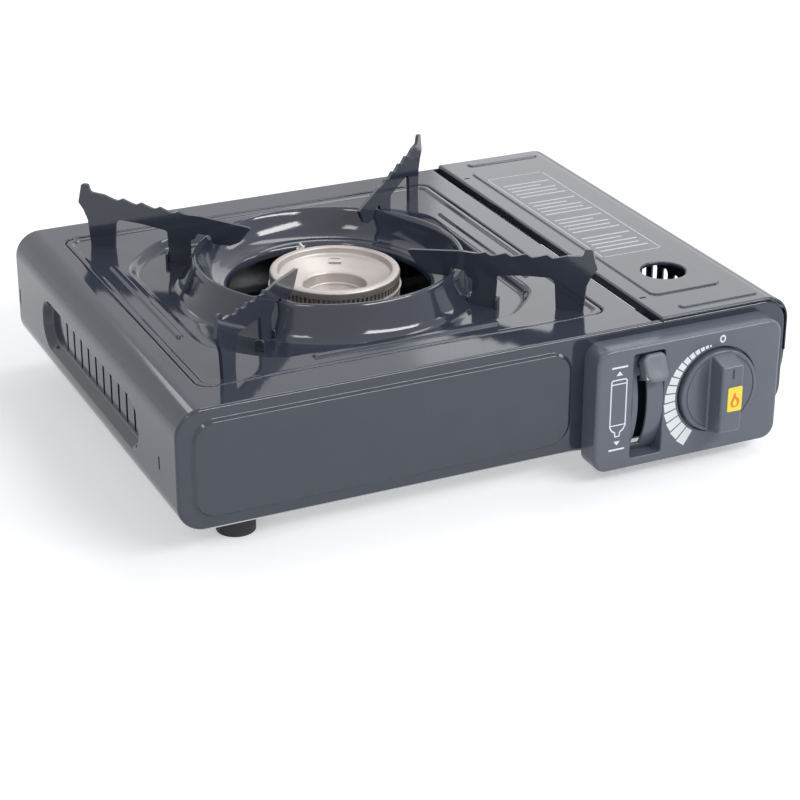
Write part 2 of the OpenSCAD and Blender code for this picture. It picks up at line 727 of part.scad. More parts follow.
module burner_bowl() color("#b9b4ab") {
    at_burner() difference() {
        rotate_extrude($fn = 96) polygon([[0, bowl_z], [bowl_r - 12, bowl_z],
            [bowl_r - 1, cap_z - 12], [bowl_r - 1, cap_z - 3], [bowl_r + 2.6, cap_z - 2],
            [bowl_r + 2.6, cap_z], [bowl_r - 3.5, cap_z], [bowl_r - 3.5, cap_z - 11],
            [bowl_r - 13, bowl_z + 3], [0, bowl_z + 3]]);
        // port for the mixing tube
        rotate([0, 0, mix_a]) translate([bowl_r - 8, 0, mix_z]) rotate([0, 90, 0])
            cylinder(h = 20, r = mix_r + 0.05);
        for (s = burner_screw_xy)
            translate([s.x, s.y, bowl_z - cut]) cylinder(h = 3 + 2 * cut, r = 1.6);
    }
}

module mixing_tube() color("#b7b9bb") {
    at_burner() rotate([0, 0, mix_a]) difference() {
        translate([bowl_r - 3.6, 0, mix_z]) rotate([0, 90, 0]) union() {
            cylinder(h = mix_len, r = mix_r);
            // flared air inlet
            translate([0, 0, mix_len - 12]) cylinder(h = 12, r = mix_r + 2);
        }
        translate([bowl_r - 3.6 - cut, 0, mix_z]) rotate([0, 90, 0])
            cylinder(h = mix_len - 2 + cut, r = mix_r - mix_t);
        // hole for the jet
        translate([bowl_r - 3.6 + mix_len - 5, 0, mix_z]) rotate([0, 90, 0])
            cylinder(h = 10, r = 3.2);
        // air windows
        for (a = [0, 90])
            translate([bowl_r - 3.6 + mix_len - 9, 0, mix_z]) rotate([a, 0, 0])
                translate([-2.5, -3, -mix_r - 3]) cube([5, 6, 2 * mix_r + 6]);
    }
}

module burner_bracket() color("#8d9299") {
    half = 34;
    at_burner() difference() {
        union() {
            // top bar under the bowl, two legs and two feet
            box(-9, -half, bowl_z - plate_t, 9, half, bowl_z);
            for (s = [-1, 1]) {
                box(-9, s > 0 ? half - plate_t : -half, base_floor_z, 9,
                    s > 0 ? half : -half + plate_t, bowl_z);
                box(-9, s > 0 ? half - plate_t : -half - 12, base_floor_z, 9,
                    s > 0 ? half + 12 : -half + plate_t, base_floor_z + plate_t);
            }
        }
        for (s = burner_screw_xy)
            translate([s.x, s.y, bowl_z - plate_t - cut])
                cylinder(h = plate_t + 2 * cut, r = 1.6);
        for (s = [-1, 1])
            translate([0, s * (half + 7), base_floor_z - cut])
                cylinder(h = plate_t + 2 * cut, r = 1.6);
    }
}

module burner_screws() color("#9a9da2") {
    at_burner() {
        for (s = burner_screw_xy)
            translate([s.x, s.y, bowl_z - plate_t]) rotate([180, 0, 0]) screw(4.4);
        for (s = [-1, 1])
            translate([0, s * 41, base_floor_z + plate_t]) screw(plate_t);
    }
}

// ---------- gas path ----------

module gas_jet() color("#b08d3c") {
    translate(jet_base) rotate([0, 0, mix_a]) rotate([0, 90, 0]) difference() {
        union() {
            translate([0, 0, -2]) cylinder(h = 2, r = 3.15);
            cylinder(h = 7, r = 5, $fn = 6);
        }
        translate([0, 0, -2 - cut]) cylinder(h = 5 + cut, r = 0.8);
        translate([0, 0, 2]) cylinder(h = 7, r = pipe_r);
    }
}

module gas_pipe() color("#a9712f") {
    swept_rod(smooth(pipe_route, 2), pipe_r - 0.1, 12, [0, 0, 1]);
}

// ---------- ignition ----------

module electrode() color("#e9e4da") {
    translate(electrode_p) {
        translate([0, 0, 62]) cylinder(h = 18, r = 2.2);
        translate([0, 0, 60]) cylinder(h = 2, r = 3.4);
        translate([0, 0, 80]) cylinder(h = 3, r = 0.8);
        translate([0, 0, 82.2]) rotate([90, 0, 0]) cylinder(h = 4.5, r = 0.8);
        translate([0, 0, 56]) cylinder(h = 4, r = 0.8);
    }
}

module electrode_bracket() color("#8d9299") {
    translate(electrode_p) difference() {
        union() {
            // arm from the burner strap's plane up to the insulator
            box(-4, 4.6, base_floor_z, 4, 4.6 + plate_t, 68);
            box(-4, -4, 66.5, 4, 4.6 + plate_t, 68);
            box(-4, 4.6, base_floor_z, 4, 16, base_floor_z + plate_t);
        }
        translate([0, 0, 60]) cylinder(h = 12, r = 2.25);
    }
}

module ignition_lead() color("#c23a2e") {
    // from under the electrode, along the base pan, to the back of the igniter
    p = electrode_p;
    swept_rod(smooth([[p.x, p.y, 55.8], [p.x, p.y, 44], [p.x + 16, p.y + 8, 36], [bay_x - 28, 76, 15],
        [bay_x - 16, 60, 13.5], [bay_x - 16, -60, 13.5], [bay_x - 16, -74, 13.5],
        [bay_x + 4, -77, 17], [lead_x - 3, -75, 20],
        [lead_x, -90, 30], [lead_x, piezo_back_y + 14, knob_z],
        [lead_x, piezo_back_y + 0.1, knob_z]], 2),
        1.4, 8, [1, 0, 0]);
}

// ---------- lid ----------

// Rolled cover outline: flat top, round right-hand edge, straight side.
module lid_outline(x0, z0, x1, z1, r) {
    difference() {
        rrect(x0 - 2 * r, z0 - 2 * r, x1, z1, r);
        translate([x0 - 3 * r, z0 - 3 * r]) square([3 * r, 6 * r + z1 - z0]);
        translate([x0 - r, z0 - 3 * r]) square([x1 - x0 + 3 * r, 3 * r]);
    }
}

module cartridge_lid() color("#2b313a") {
    view_x = right_x - 44.3;
    view_y = front_y + 54.7;
    difference() {
        union() {
            difference() {
                along_y(front_y, rear_y)
                    lid_outline(lid_x, lid_bottom_z, right_x, lid_z, roll_r);
                along_y(front_y - cut, rear_y + cut)
                    lid_outline(lid_x + lid_t, lid_bottom_z - cut, right_x - lid_t,
                        lid_z - lid_t, roll_r - lid_t);
                // the inner edge only turns down a little way
                box(lid_x - cut, front_y - cut, lid_bottom_z - cut, lid_x + lid_t + cut,
                    rear_y + cut, lid_z - 5);
                // and stays clear of the front and rear walls
                for (y = [[front_y - cut, front_y + sheet + seat],
                        [rear_y - sheet - seat, rear_y + cut]])
                    {
                        box(lid_x - cut, y[0], lid_z - 6, lid_x + lid_t, y[1], lid_z - lid_t);
                        // the lower corners swing past the ends of the front and rear walls
                        box(right_x - 3, y[0], lid_bottom_z - cut, right_x + cut, y[1],
                            hinge_z + 5.5);
                    }
            }
            // pressed panel and the beads in front of it and behind it
            along_z(lid_z - lid_t, lid_z + lid_panel_h)
                rrect(right_x - 68, front_y + 27, right_x - 24, rear_y - 22.5, 5);
            for (y = [front_y + 9, rear_y - 9.5])
                along_z(lid_z - lid_t, lid_z + lid_panel_h)
                    rrect(right_x - 63, y - 3, right_x - 15, y + 3, 2.9);
            // ears that hang on the hinge pins
            for (y = [front_y + sheet + seat, rear_y - sheet - seat - lid_t])
                along_y(y, y + lid_t) {
                    translate([hinge_x, hinge_z]) circle(ear_r);
                    translate([hinge_x - ear_r, hinge_z])
                        square([right_x - lid_t / 2 - hinge_x + ear_r, ear_top_z - hinge_z]);
                }
        }
        translate([view_x, view_y, lid_z - 3]) cylinder(h = 6, r = view_r);
        for (y = [front_y, rear_y])
            rod_y(hinge_x, y - 5, y + 5, hinge_z, hinge_pin_r + run_fit);
        // cooling vents in the side
        for (i = [0:8]) along_x(right_x - lid_t - cut, right_x + cut)
            rrect(front_y + 85.6 + i * side_vent_pitch - side_vent_w / 2, 34,
                front_y + 85.6 + i * side_vent_pitch + side_vent_w / 2, 52, 2);
    }
}

module lid_hinge_pins() color("#9a9da2") {
    inner = sheet + 2 * seat + lid_t;
    rod_y(hinge_x, front_y + 0.1, front_y + inner + 1.2, hinge_z, hinge_pin_r);
    rod_y(hinge_x, front_y + inner, front_y + inner + 1.2, hinge_z, hinge_pin_r + 1.5);
    rod_y(hinge_x, rear_y - inner - 1.2, rear_y - 0.1, hinge_z, hinge_pin_r);
    rod_y(hinge_x, rear_y - inner - 1.2, rear_y - inner, hinge_z, hinge_pin_r + 1.5);
}

// ---------- regulator ----------

module regulator_body() color("#9c9fa3") {
    difference() {
        along_y(regulator_front_y, regulator_back_y)
            rrect(reg_x0, reg_z0, reg_x1, reg_z1, 4);
        rod_y(knob_x, regulator_front_y - cut, regulator_back_y - 12, knob_z,
            spindle_r + run_fit);
        rod_x(reg_x0 - cut, reg_x0 + 12, regulator_back_y - 10, pipe_z, pipe_r + 0.15);
        for (p = cover_screw_yz) rod_x(reg_x1 - 6, reg_x1 + cut, p.x, p.y, 1.5);
    }
}

module regulator_cover() color("#b4b6b8") {
    difference() {
        union() {
            rod_x(reg_x1, reg_x1 + 2.5, cover_y, cover_z, 17);
            rod_x(reg_x1, reg_x1 + 5, cover_y, cover_z, 8);
        }
        for (p = cover_screw_yz) rod_x(reg_x1 - cut, reg_x1 + 5, p.x, p.y, 1.6);
    }
}

module regulator_screws() color("#9a9da2") {
    for (p = cover_screw_yz)
        translate([reg_x1 + 2.5, p.x, p.y]) rotate([0, 90, 0]) screw(7.5);
}

module regulator_bracket() color("#8d9299") {
    y0 = regulator_front_y + 16;
    w = 28;
    along_y(y0, y0 + 20) difference() {
        translate([reg_x0 + 4, base_floor_z]) square([w, reg_z0 - base_floor_z]);
        translate([reg_x0 + 4 + plate_t, base_floor_z + plate_t])
            square([w - 2 * plate_t, reg_z0 - base_floor_z - 2 * plate_t]);
    }
}

module cartridge_socket() color("#a3a6aa") {
    y0 = regulator_back_y;
    difference() {
        union() {
            rod_y(can_x, y0, y0 + socket_len, can_z, socket_r + 2.5);
            // inlet nipple that opens the cartridge valve
            rod_y(can_x, y0, y0 + socket_len - 2, can_z, 2.4);
        }
        difference() {
            rod_y(can_x, y0 + 2, y0 + socket_len + cut, can_z, socket_r);
            rod_y(can_x, y0, y0 + socket_len - 2, can_z, 2.4);
        }
        rod_y(can_x, y0 - cut, y0 + socket_len, can_z, 0.9);
    }
    // key that fits the notch in the cartridge collar
    box(can_x - 1.6, y0 + 2, can_z + socket_r - 2.4, can_x + 1.6, y0 + socket_len,
        can_z + socket_r + 1);
}

module socket_seal() color("#222222") {
    y0 = regulator_back_y + 2;
    difference() {
        rod_y(can_x, y0, y0 + 2, can_z, 5.5);
        rod_y(can_x, y0 - cut, y0 + 2 + cut, can_z, 2.45);
    }
}

// ---------- knob, spindle and igniter ----------

module gas_knob() color("#3a3d42") {
    y_face = panel_y - knob_out;
    difference() {
        union() {
            rod_y(knob_x, panel_y - 3, panel_y + knob_seat - seat, knob_z, knob_r);
            // grip ridge, with ends that lean back
            intersection() {
                translate([knob_x, panel_y - 2, knob_z]) rotate([90, 0, 0])
                    cylinder(h = knob_out - 2, r1 = knob_r - 0.8, r2 = knob_r - 4);
                box(knob_x - ridge_half, y_face, knob_z - 30, knob_x + ridge_half, panel_y,
                    knob_z + 30);
            }
        }
        rod_y(knob_x, panel_y - 8, panel_y + knob_seat, knob_z, spindle_r);
        // pointer groove
        box(knob_x - 0.6, y_face - cut, knob_z + 11.8, knob_x + 0.6, y_face + 0.5,
            knob_z + 17.6);
    }
}

module knob_label() color("#f2df2a") {
    box(knob_x - 2.7, panel_y - knob_out - 0.3, knob_z - 6.8, knob_x + ridge_half - 0.4,
        panel_y - knob_out, knob_z + 6.8);
}

module valve_spindle() color("#b08d3c") {
    rod_y(knob_x, panel_y - 8 + 0.1, regulator_back_y - 12.5, knob_z, spindle_r - 0.02);
}

module igniter_cam() color("#d8d4cc") {
    // The radius grows clockwise from +X, so that turning the cam counter-clockwise
    // pushes the plunger steadily outward.
    difference() {
        along_y(cam_y, cam_y + cam_t) translate([knob_x, knob_z])
            polygon(concat([for (i = [0:30]) let (a = cam_sweep * (i / 30 - 1))
                    (cam_r - cam_k * a) * [cos(a), sin(a)]],
                [for (i = [1:17]) let (a = (360 - cam_sweep) * i / 18)
                    cam_r * [cos(a), sin(a)]]));
        rod_y(knob_x, cam_y - cut, cam_y + cam_t + cut, knob_z, spindle_r);
    }
}

module piezo_igniter() color("#8a3b34") {
    y = cam_y + cam_t / 2;
    difference() {
        box(piezo_x0, y - piezo_half, knob_z - 5, piezo_x1, y + piezo_half, knob_z + 5);
        rod_x(piezo_x0 - cut, piezo_x1 - 4, y, knob_z, plunger_r + run_fit);
    }
}

module igniter_plunger() color("#d8d4cc") {
    y = cam_y + cam_t / 2;
    rod_x(knob_x + cam_r + seat, piezo_x1 - 4 - strike - 0.5, y, knob_z, plunger_r);
}

// ---------- lever and carriage ----------

module lever_arm() color("#8d9299") {
    along_x(lever_x - lever_t / 2, lever_x + lever_t / 2)
        translate([pivot_y, pivot_z]) difference() {
            union() {
                circle(9);
                rotate(180 - lever_up) translate([0, -3.5]) square([arch_r + 8, 7]);
                translate([drive_y, drive_arm]) circle(6.5);
                translate([drive_y - 6, 0]) square([12, drive_arm]);
            }
            circle(lever_pin_r + run_fit);
            // hole that the carriage pin works in, over the whole swing
            hull() for (i = [0:8]) let (t = lever_swing * i / 8, y = drive_y - drive_k * t)
                translate([y * cos(t) + drive_arm * sin(t), -y * sin(t) + drive_arm * cos(t)])
                    circle(drive_pin_r + 0.3, $fn = 32);
        }
}

module lever_pad() color("#3a3d42") {
    translate([0, pivot_y, pivot_z]) rotate([-lever_up, 0, 0])
        difference() {
            box(lever_x - 5.3, -arch_r - 9, -6, lever_x + 9.7, -arch_r - 1.2, 6);
            box(lever_x - lever_t / 2, -arch_r - 8, -3.5, lever_x + lever_t / 2, -arch_r, 3.5);
        }
}

module lever_pin() color("#9a9da2") {
    rod_x(bracket_x - 1, lever_x + lever_t / 2 + 0.5, pivot_y, pivot_z, lever_pin_r);
    rod_x(lever_x + lever_t / 2 + 0.5, lever_x + lever_t / 2 + 1.7, pivot_y, pivot_z, 4.5);
    rod_x(bracket_x - 2, bracket_x, pivot_y, pivot_z, 5);
}

module lever_bracket() color("#8d9299") {
    difference() {
        union() {
            box(bracket_x, pivot_y - 10, base_floor_z, bracket_x + plate_t, pivot_y + 14,
                pivot_z + 8);
            box(bracket_x - 14, pivot_y - 10, base_floor_z, bracket_x + plate_t, pivot_y + 14,
                base_floor_z + plate_t);
        }
        rod_x(bracket_x - 8, bracket_x + 12, pivot_y, pivot_z, lever_pin_r);
    }
}

module carriage() color("#a4a8ad") {
    strip_x = lever_x + lever_t / 2 + 2.2;
    pin_y = pivot_y + drive_y;
    pin_z = pivot_z + drive_arm;
    jog_y = -54;
    floor_z = base_floor_z + seat;
    back_y = jog_y + can_len;
    union() {
        rod_x(lever_x - 2.2, strip_x, pin_y, pin_z, drive_pin_r);
        box(strip_x, pin_y - 4, pin_z - 4, strip_x + plate_t, jog_y, pin_z + 3.5);
        box(strip_x, jog_y, floor_z, channel_x0 + plate_t, jog_y + plate_t, pin_z + 3.5);
        box(channel_x0, jog_y, floor_z, channel_x0 + plate_t, back_y, 24);
        box(channel_x0, jog_y, floor_z, channel_x1, back_y, floor_z + plate_t);
        // plate that pushes the cartridge forward
        box(channel_x0, back_y, floor_z, can_x + 17, back_y + plate_t, can_z + 20);
        // tab that the return spring hooks on
        box(channel_x0, spring_y - spring_len - 1.4 - plate_t, floor_z, channel_x1 - 3 - seat,
            spring_y - spring_len - 1.4, 20);
    }
}

module carriage_guides() color("#8d9299") {
    lip_z = base_floor_z + 2 * seat + plate_t;
    for (y = [-24, 96]) {
        box(channel_x1 + seat, y, base_floor_z, channel_x1 + seat + plate_t, y + 10, lip_z + plate_t);
        box(channel_x1 - 3, y, lip_z, channel_x1 + seat + plate_t, y + 10, lip_z + plate_t);
    }
    // post that anchors the return spring
    box(channel_x1 - 6, spring_y, lip_z, channel_x1 + seat + plate_t, spring_y + plate_t, 21);
    box(channel_x1 + seat, spring_y, base_floor_z, channel_x1 + seat + plate_t,
        spring_y + plate_t, 21);
}

module carriage_spring() color("#9a9da2") {
    turns = 11;
    steps = 8;
    coil_r = 2.4;
    x = channel_x1 - 4.5;
    z = 17;
    helix = [for (i = [0:turns * steps]) let (a = 360 * i / steps)
        [x + coil_r * cos(a), spring_y - 0.4 - spring_len * i / (turns * steps), z + coil_r * sin(a)]];
    swept_rod(helix, 0.5, 6, [0, 1, 0]);
}

module cartridge_cradle() color("#8d9299") {
    for (y = [-30, 70])
        along_y(y, y + plate_t) difference() {
            translate([can_x - cradle_half - 4, base_floor_z]) square([2 * cradle_half, 12]);
            translate([can_x, can_z]) circle(can_r + can_gap);
        }
}

body_shell();
base_pan();
rubber_feet();
base_screws();
partition();
control_panel();
panel_screws();
drip_tray();
pan_support_rear_right();
pan_support_rear_left();
pan_support_front_left();
pan_support_front_right();
burner_cap();
burner_bowl();
mixing_tube();
burner_bracket();
burner_screws();
gas_jet();
gas_pipe();
electrode();
electrode_bracket();
ignition_lead();
cartridge_lid();
lid_hinge_pins();
regulator_body();
regulator_cover();
regulator_screws();
regulator_bracket();
cartridge_socket();
socket_seal();
gas_knob();
knob_label();
valve_spindle();
igniter_cam();
piezo_igniter();
igniter_plunger();
lever_arm();
lever_pad();
lever_pin();
lever_bracket();
carriage();
carriage_guides();
carriage_spring();
cartridge_cradle();
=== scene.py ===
import json
import math

import bmesh
import bpy
import numpy as np
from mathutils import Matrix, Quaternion, Vector
from mathutils.geometry import tessellate_polygon

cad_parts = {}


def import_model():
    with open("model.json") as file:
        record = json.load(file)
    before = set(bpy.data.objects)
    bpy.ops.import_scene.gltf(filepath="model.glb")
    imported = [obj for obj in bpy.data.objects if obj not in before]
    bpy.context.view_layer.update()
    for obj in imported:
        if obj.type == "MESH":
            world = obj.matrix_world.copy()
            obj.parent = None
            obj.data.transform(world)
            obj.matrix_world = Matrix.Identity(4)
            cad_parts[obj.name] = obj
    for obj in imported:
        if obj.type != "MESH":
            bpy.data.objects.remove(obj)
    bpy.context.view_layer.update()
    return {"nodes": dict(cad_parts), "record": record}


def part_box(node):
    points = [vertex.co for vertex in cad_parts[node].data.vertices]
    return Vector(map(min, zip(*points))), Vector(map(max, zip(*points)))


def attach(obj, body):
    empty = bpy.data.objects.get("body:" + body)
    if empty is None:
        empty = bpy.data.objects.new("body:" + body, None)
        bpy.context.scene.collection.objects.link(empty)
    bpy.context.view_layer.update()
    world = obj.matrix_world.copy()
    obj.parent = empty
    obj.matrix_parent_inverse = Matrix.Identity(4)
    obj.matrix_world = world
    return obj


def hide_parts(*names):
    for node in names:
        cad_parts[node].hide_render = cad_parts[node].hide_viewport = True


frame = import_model()
MM = 0.001
TAU = 2 * math.pi
# the record's material slot of each CAD node; prints have none
SLOT_OF = {s["node"]: s["material_slot"] for s in frame["record"]["subparts"]}

# Sizes below are in millimetres, as in the CAD: +X is the cartridge side, -Y the control panel.
LX, RX = -171.0, 171.0           # outer faces of the left wall and of the lid's side
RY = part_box("body_shell")[1].y / MM
FY = RY - 260.5                  # front face of the shell
PY = FY - 14                     # face of the control panel
DECK, WALL = 80.0, 16.0          # top of the deck, foot of the walls
CORNER = 14.0                    # radius of the long edges of the shell and the lid
JOIN = 0.6                       # width of the flat strip between a rounded edge and the plate beside it
BAY = 90.0                       # right-hand edge of the deck
LAND, BASIN = 79.7, 74.5         # levels of the tray's land and of its basin
SUNK = 0.9                       # depth of the land inside its rim
TX0, TX1 = -149.4, 73.4          # outline of the tray
TY0, TY1 = FY + 22.6, FY + 238.4
LID = 81.7                       # top of the lid
RISE = 0.8                       # height of the lid's pressed panel and beads
VIEW, VIEW_R = (RX - 44.3, FY + 54.7), 13.0      # viewing hole of the lid
RING = (-35.7, FY + 130.0)       # centre of the tray's ring and of the pan supports
BURNER = (-32.4, FY + 129.6)
KNOB, KNOB_R = (119.7, 42.7), 22.5


# ---------- materials ----------

COLOR_IN, COLOR_OUT = (6, 7), 2          # the colour sockets of a Mix node
LOW, HIGH = 3, 4                         # the output range of a Map Range node
BUMP = 0.0004                            # depth of the surfaces' bumps, in metres


def material(name, color, rough, metal=0.0, ior=1.5, mottle=0.08, mottle_scale=60.0,
             grain=0.0, grain_scale=1200.0, rough_var=0.05, wave=0.0, wave_scale=90.0):
    """Painted, moulded or cast surface: mottled colour, uneven gloss, fine grain and long waves."""
    m = bpy.data.materials.new(name)
    m.use_nodes = True
    nt = m.node_tree
    n, link = nt.nodes, nt.links.new
    p = n["Principled BSDF"]
    p.inputs["Metallic"].default_value = metal
    p.inputs["IOR"].default_value = ior
    coords = n.new("ShaderNodeTexCoord")

    def noise(scale, detail):
        tex = n.new("ShaderNodeTexNoise")
        tex.inputs["Scale"].default_value = scale
        tex.inputs["Detail"].default_value = detail
        link(coords.outputs["Object"], tex.inputs["Vector"])
        return tex.outputs["Fac"]
    big = noise(mottle_scale, 5)
    mix = n.new("ShaderNodeMix")
    mix.data_type = "RGBA"
    for socket, level in zip(COLOR_IN, (1 - mottle, 1 + mottle)):
        mix.inputs[socket].default_value = (*[min(1, c * level) for c in color], 1)
    link(big, mix.inputs[0])
    link(mix.outputs[COLOR_OUT], p.inputs["Base Color"])
    gloss = n.new("ShaderNodeMapRange")
    gloss.inputs[LOW].default_value = max(0.02, rough - rough_var)
    gloss.inputs[HIGH].default_value = rough + rough_var
    link(big, gloss.inputs[0])
    link(gloss.outputs[0], p.inputs["Roughness"])
    normal = None
    for strength, tex_scale, detail in ((grain, grain_scale, 3), (wave, wave_scale, 1)):
        if not strength:
            continue
        bump = n.new("ShaderNodeBump")
        bump.inputs["Strength"].default_value = strength
        bump.inputs["Distance"].default_value = BUMP
        link(noise(tex_scale, detail), bump.inputs["Height"])
        if normal:
            link(normal, bump.inputs["Normal"])
        normal = bump.outputs["Normal"]
    if normal:
        link(normal, p.inputs["Normal"])
    return m


SURFACES = {
    "enamel_black": dict(color=(0.034, 0.041, 0.062), rough=0.09, ior=1.58, mottle=0.12, grain=0.03,
                         grain_scale=900, wave=0.05, wave_scale=60, rough_var=0.02),
    "panel_plastic": dict(color=(0.112, 0.127, 0.160), rough=0.22, mottle=0.08, grain=0.10,
                          grain_scale=2600, rough_var=0.05),
    "cast_aluminium": dict(color=(0.52, 0.48, 0.46), rough=0.44, metal=0.85, mottle=0.07, mottle_scale=220,
                           grain=0.25, grain_scale=1500, rough_var=0.08),
    "zinc_steel": dict(color=(0.50, 0.51, 0.52), rough=0.34, metal=1.0, mottle=0.16, mottle_scale=130,
                       grain=0.08, grain_scale=900, rough_var=0.1),
    "brass": dict(color=(0.72, 0.52, 0.24), rough=0.28, metal=1.0, mottle=0.08, mottle_scale=150,
                  grain=0.05, rough_var=0.06),
    # black rubber; it also colours the knob pointer, as painted shade of its groove
    "rubber_black": dict(color=(0.03, 0.03, 0.032), rough=0.7, mottle=0.15, grain=0.2, grain_scale=1800,
                         rough_var=0.08),
    "ceramic_white": dict(color=(0.86, 0.85, 0.82), rough=0.25, mottle=0.03, grain=0.04, grain_scale=1500),
    "lead_red": dict(color=(0.45, 0.05, 0.04), rough=0.45, mottle=0.08, grain=0.08),
    "label_yellow": dict(color=(0.90, 0.72, 0.06), rough=0.35, mottle=0.04, mottle_scale=300, grain=0.03),
    "cam_plastic": dict(color=(0.68, 0.67, 0.63), rough=0.42, mottle=0.05, grain=0.06),
    "grip_plastic": dict(color=(0.16, 0.18, 0.21), rough=0.42, mottle=0.06, grain=0.12, grain_scale=2400),
    "print_white": dict(color=(0.80, 0.82, 0.84), rough=0.5, mottle=0.03),
    "print_grey": dict(color=(0.55, 0.57, 0.60), rough=0.5, mottle=0.05),
    "print_orange": dict(color=(0.80, 0.22, 0.03), rough=0.45, mottle=0.05),
    # darker copy of cast_aluminium for the burner's port band: painted shade under the rim and in the ports
    "cast_dark": dict(color=(0.33, 0.30, 0.28), rough=0.5, metal=0.7, mottle=0.1, mottle_scale=300,
                      grain=0.2),
}
MATS = {name: material(name, **look) for name, look in SURFACES.items()}


# ---------- mesh building ----------

def rr(x0, y0, x1, y1, r, k=8):
    """Rounded rectangle, counter-clockwise, with k + 1 points on each corner."""
    out = []
    for cx, cy, a0 in ((x1 - r, y1 - r, 0), (x0 + r, y1 - r, 90), (x0 + r, y0 + r, 180), (x1 - r, y0 + r, 270)):
        for i in range(k + 1):
            a = math.radians(a0 + 90 * i / k)
            out.append((cx + r * math.cos(a), cy + r * math.sin(a)))
    return out


def ring(cx, cy, r, n=48):
    return [(cx + r * math.cos(TAU * i / n), cy + r * math.sin(TAU * i / n)) for i in range(n)]


def on(plane, w):
    """Maps plane coordinates (u, v) at height w to the frame."""
    if plane == "z":
        return lambda p: (p[0], p[1], w)
    if plane == "y":
        return lambda p: (p[0], w, p[1])
    return lambda p: (w, p[0], p[1])


def at(plane, w, outline):
    """An outline, laid in a plane at height w."""
    return list(map(on(plane, w), outline))


def quarter(k):
    """The angles of a quarter turn in k steps, for a rounded edge."""
    return [math.pi / 2 * i / k for i in range(k + 1)]


def ease(t):
    """A smooth step from 0 to 1."""
    return t * t * (3 - 2 * t)


def islands(bm):
    """The connected groups of faces of a mesh."""
    left, out = set(bm.faces), []
    while left:
        stack = [left.pop()]
        part = []
        while stack:
            f = stack.pop()
            part.append(f)
            for e in f.edges:
                for g in e.link_faces:
                    if g in left:
                        left.discard(g)
                        stack.append(g)
        out.append(part)
    return out


QUAD = [(0, 1, 2, 3)]
RING_STEPS = 96                  # points round the tray's ring


class Build:
    """Collects the faces of one piece."""

    def __init__(self):
        self.v, self.f = [], []

    def add(self, verts, faces):
        """Adds faces, whose numbers count from the first of verts."""
        o = len(self.v)
        self.v += [tuple(p) for p in verts]
        self.f += [tuple(i + o for i in f) for f in faces]

    def loft(self, loops, closed=True):
        """A skin over loops of equal length."""
        n = len(loops[0])
        m = n if closed else n - 1
        faces = [(j * n + i, j * n + (i + 1) % n, (j + 1) * n + (i + 1) % n, (j + 1) * n + i)
                 for j in range(len(loops) - 1) for i in range(m)]
        self.add([p for lp in loops for p in lp], faces)

    def strip(self, p, q, ya, yb):
        """A flat strip along Y between two (x, z) points."""
        self.add([(p[0], ya, p[1]), (q[0], ya, q[1]), (q[0], yb, q[1]), (p[0], yb, p[1])], QUAD)

    def cap(self, loop):
        """A face over a whole loop."""
        self.add(loop, [tuple(range(len(loop)))])

    def fill(self, outer, holes, put):
        """A flat face with holes."""
        lists = [outer] + list(holes)
        tris = tessellate_polygon([[Vector((p[0], p[1], 0)) for p in lp] for lp in lists])
        self.add([put(p) for lp in lists for p in lp], tris)

    def press(self, plane, shape, w, base, rise, steps=6, lip=0.4):
        """A pressed step of width w between two narrow lips; shape(inset) is its outline.

        Returns the inner outline and its level.
        """
        loops = [at(plane, base, shape(0))]
        for i in range(steps + 1):
            t = i / steps
            loops.append(at(plane, base + rise * ease(t), shape(lip + (w - 2 * lip) * t)))
        loops.append(at(plane, base + rise, shape(w)))
        self.loft(loops)
        return shape(w), base + rise

    def revolve(self, cx, cy, prof, n=RING_STEPS):
        """A profile of (radius, z) points, turned round a vertical axis."""
        self.loft([at("z", z, ring(cx, cy, r, n)) for r, z in prof])

    def make(self, name, slot, body, nodes=(), ref=None, solid=0.0, sharp=38, bevel=0.0, weighted=True,
             merge=0.002):
        """The finished object: welded, turned outward from ref, thickened to solid, hung under its body, with the
        CAD nodes it stands for hidden.
        """
        bm = bmesh.new()
        vs = [bm.verts.new([c * MM for c in p]) for p in self.v]
        for f in self.f:
            if len(set(f)) > 2:
                try:
                    bm.faces.new([vs[i] for i in f])
                except ValueError:       # the face is there already
                    pass
        bmesh.ops.remove_doubles(bm, verts=bm.verts, dist=merge * MM)
        bmesh.ops.dissolve_degenerate(bm, edges=bm.edges, dist=1e-7)
        bmesh.ops.recalc_face_normals(bm, faces=bm.faces)
        if ref is not None:
            c = Vector([x * MM for x in ref])
            for part in islands(bm):
                if sum(f.calc_area() * f.normal.dot(f.calc_center_median() - c) for f in part) < 0:
                    bmesh.ops.reverse_faces(bm, faces=part)
        me = bpy.data.meshes.new(name)
        bm.to_mesh(me)
        bm.free()
        for p in me.polygons:
            p.use_smooth = True
        me.set_sharp_from_angle(angle=math.radians(sharp))
        o = bpy.data.objects.new(name, me)
        bpy.context.collection.objects.link(o)
        me.materials.append(MATS[slot])
        if solid:
            m = o.modifiers.new("sheet", "SOLIDIFY")
            m.thickness = solid * MM
            m.offset = -1
            o.data = bpy.data.meshes.new_from_object(o.evaluated_get(bpy.context.evaluated_depsgraph_get()))
            o.data.name = name
            o.modifiers.clear()
            o.data.set_sharp_from_angle(angle=math.radians(sharp))
        if bevel:
            m = o.modifiers.new("round", "BEVEL")
            m.width = bevel * MM
            m.segments = 3
            m.limit_method = "ANGLE"
            m.angle_limit = math.radians(40)
        if weighted:
            m = o.modifiers.new("flats", "WEIGHTED_NORMAL")
            m.keep_sharp = True
        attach(o, body)
        if nodes:
            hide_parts(*nodes)


def smooth_path(pts, n=6):
    """A Catmull-Rom curve through points, in n steps from each to the next."""
    p = [np.array(q, float) for q in [pts[0], *pts, pts[-1]]]
    out = []
    for a, b, c, d in zip(p, p[1:], p[2:], p[3:]):
        for t in (j / n for j in range(n)):
            out.append(tuple(0.5 * (2 * b + (c - a) * t + (2 * a - 5 * b + 4 * c - d) * t * t
                                    + (3 * b - a - 3 * c + d) * t ** 3)))
    return out + [tuple(pts[-1])]


# ---------- pressed body ----------

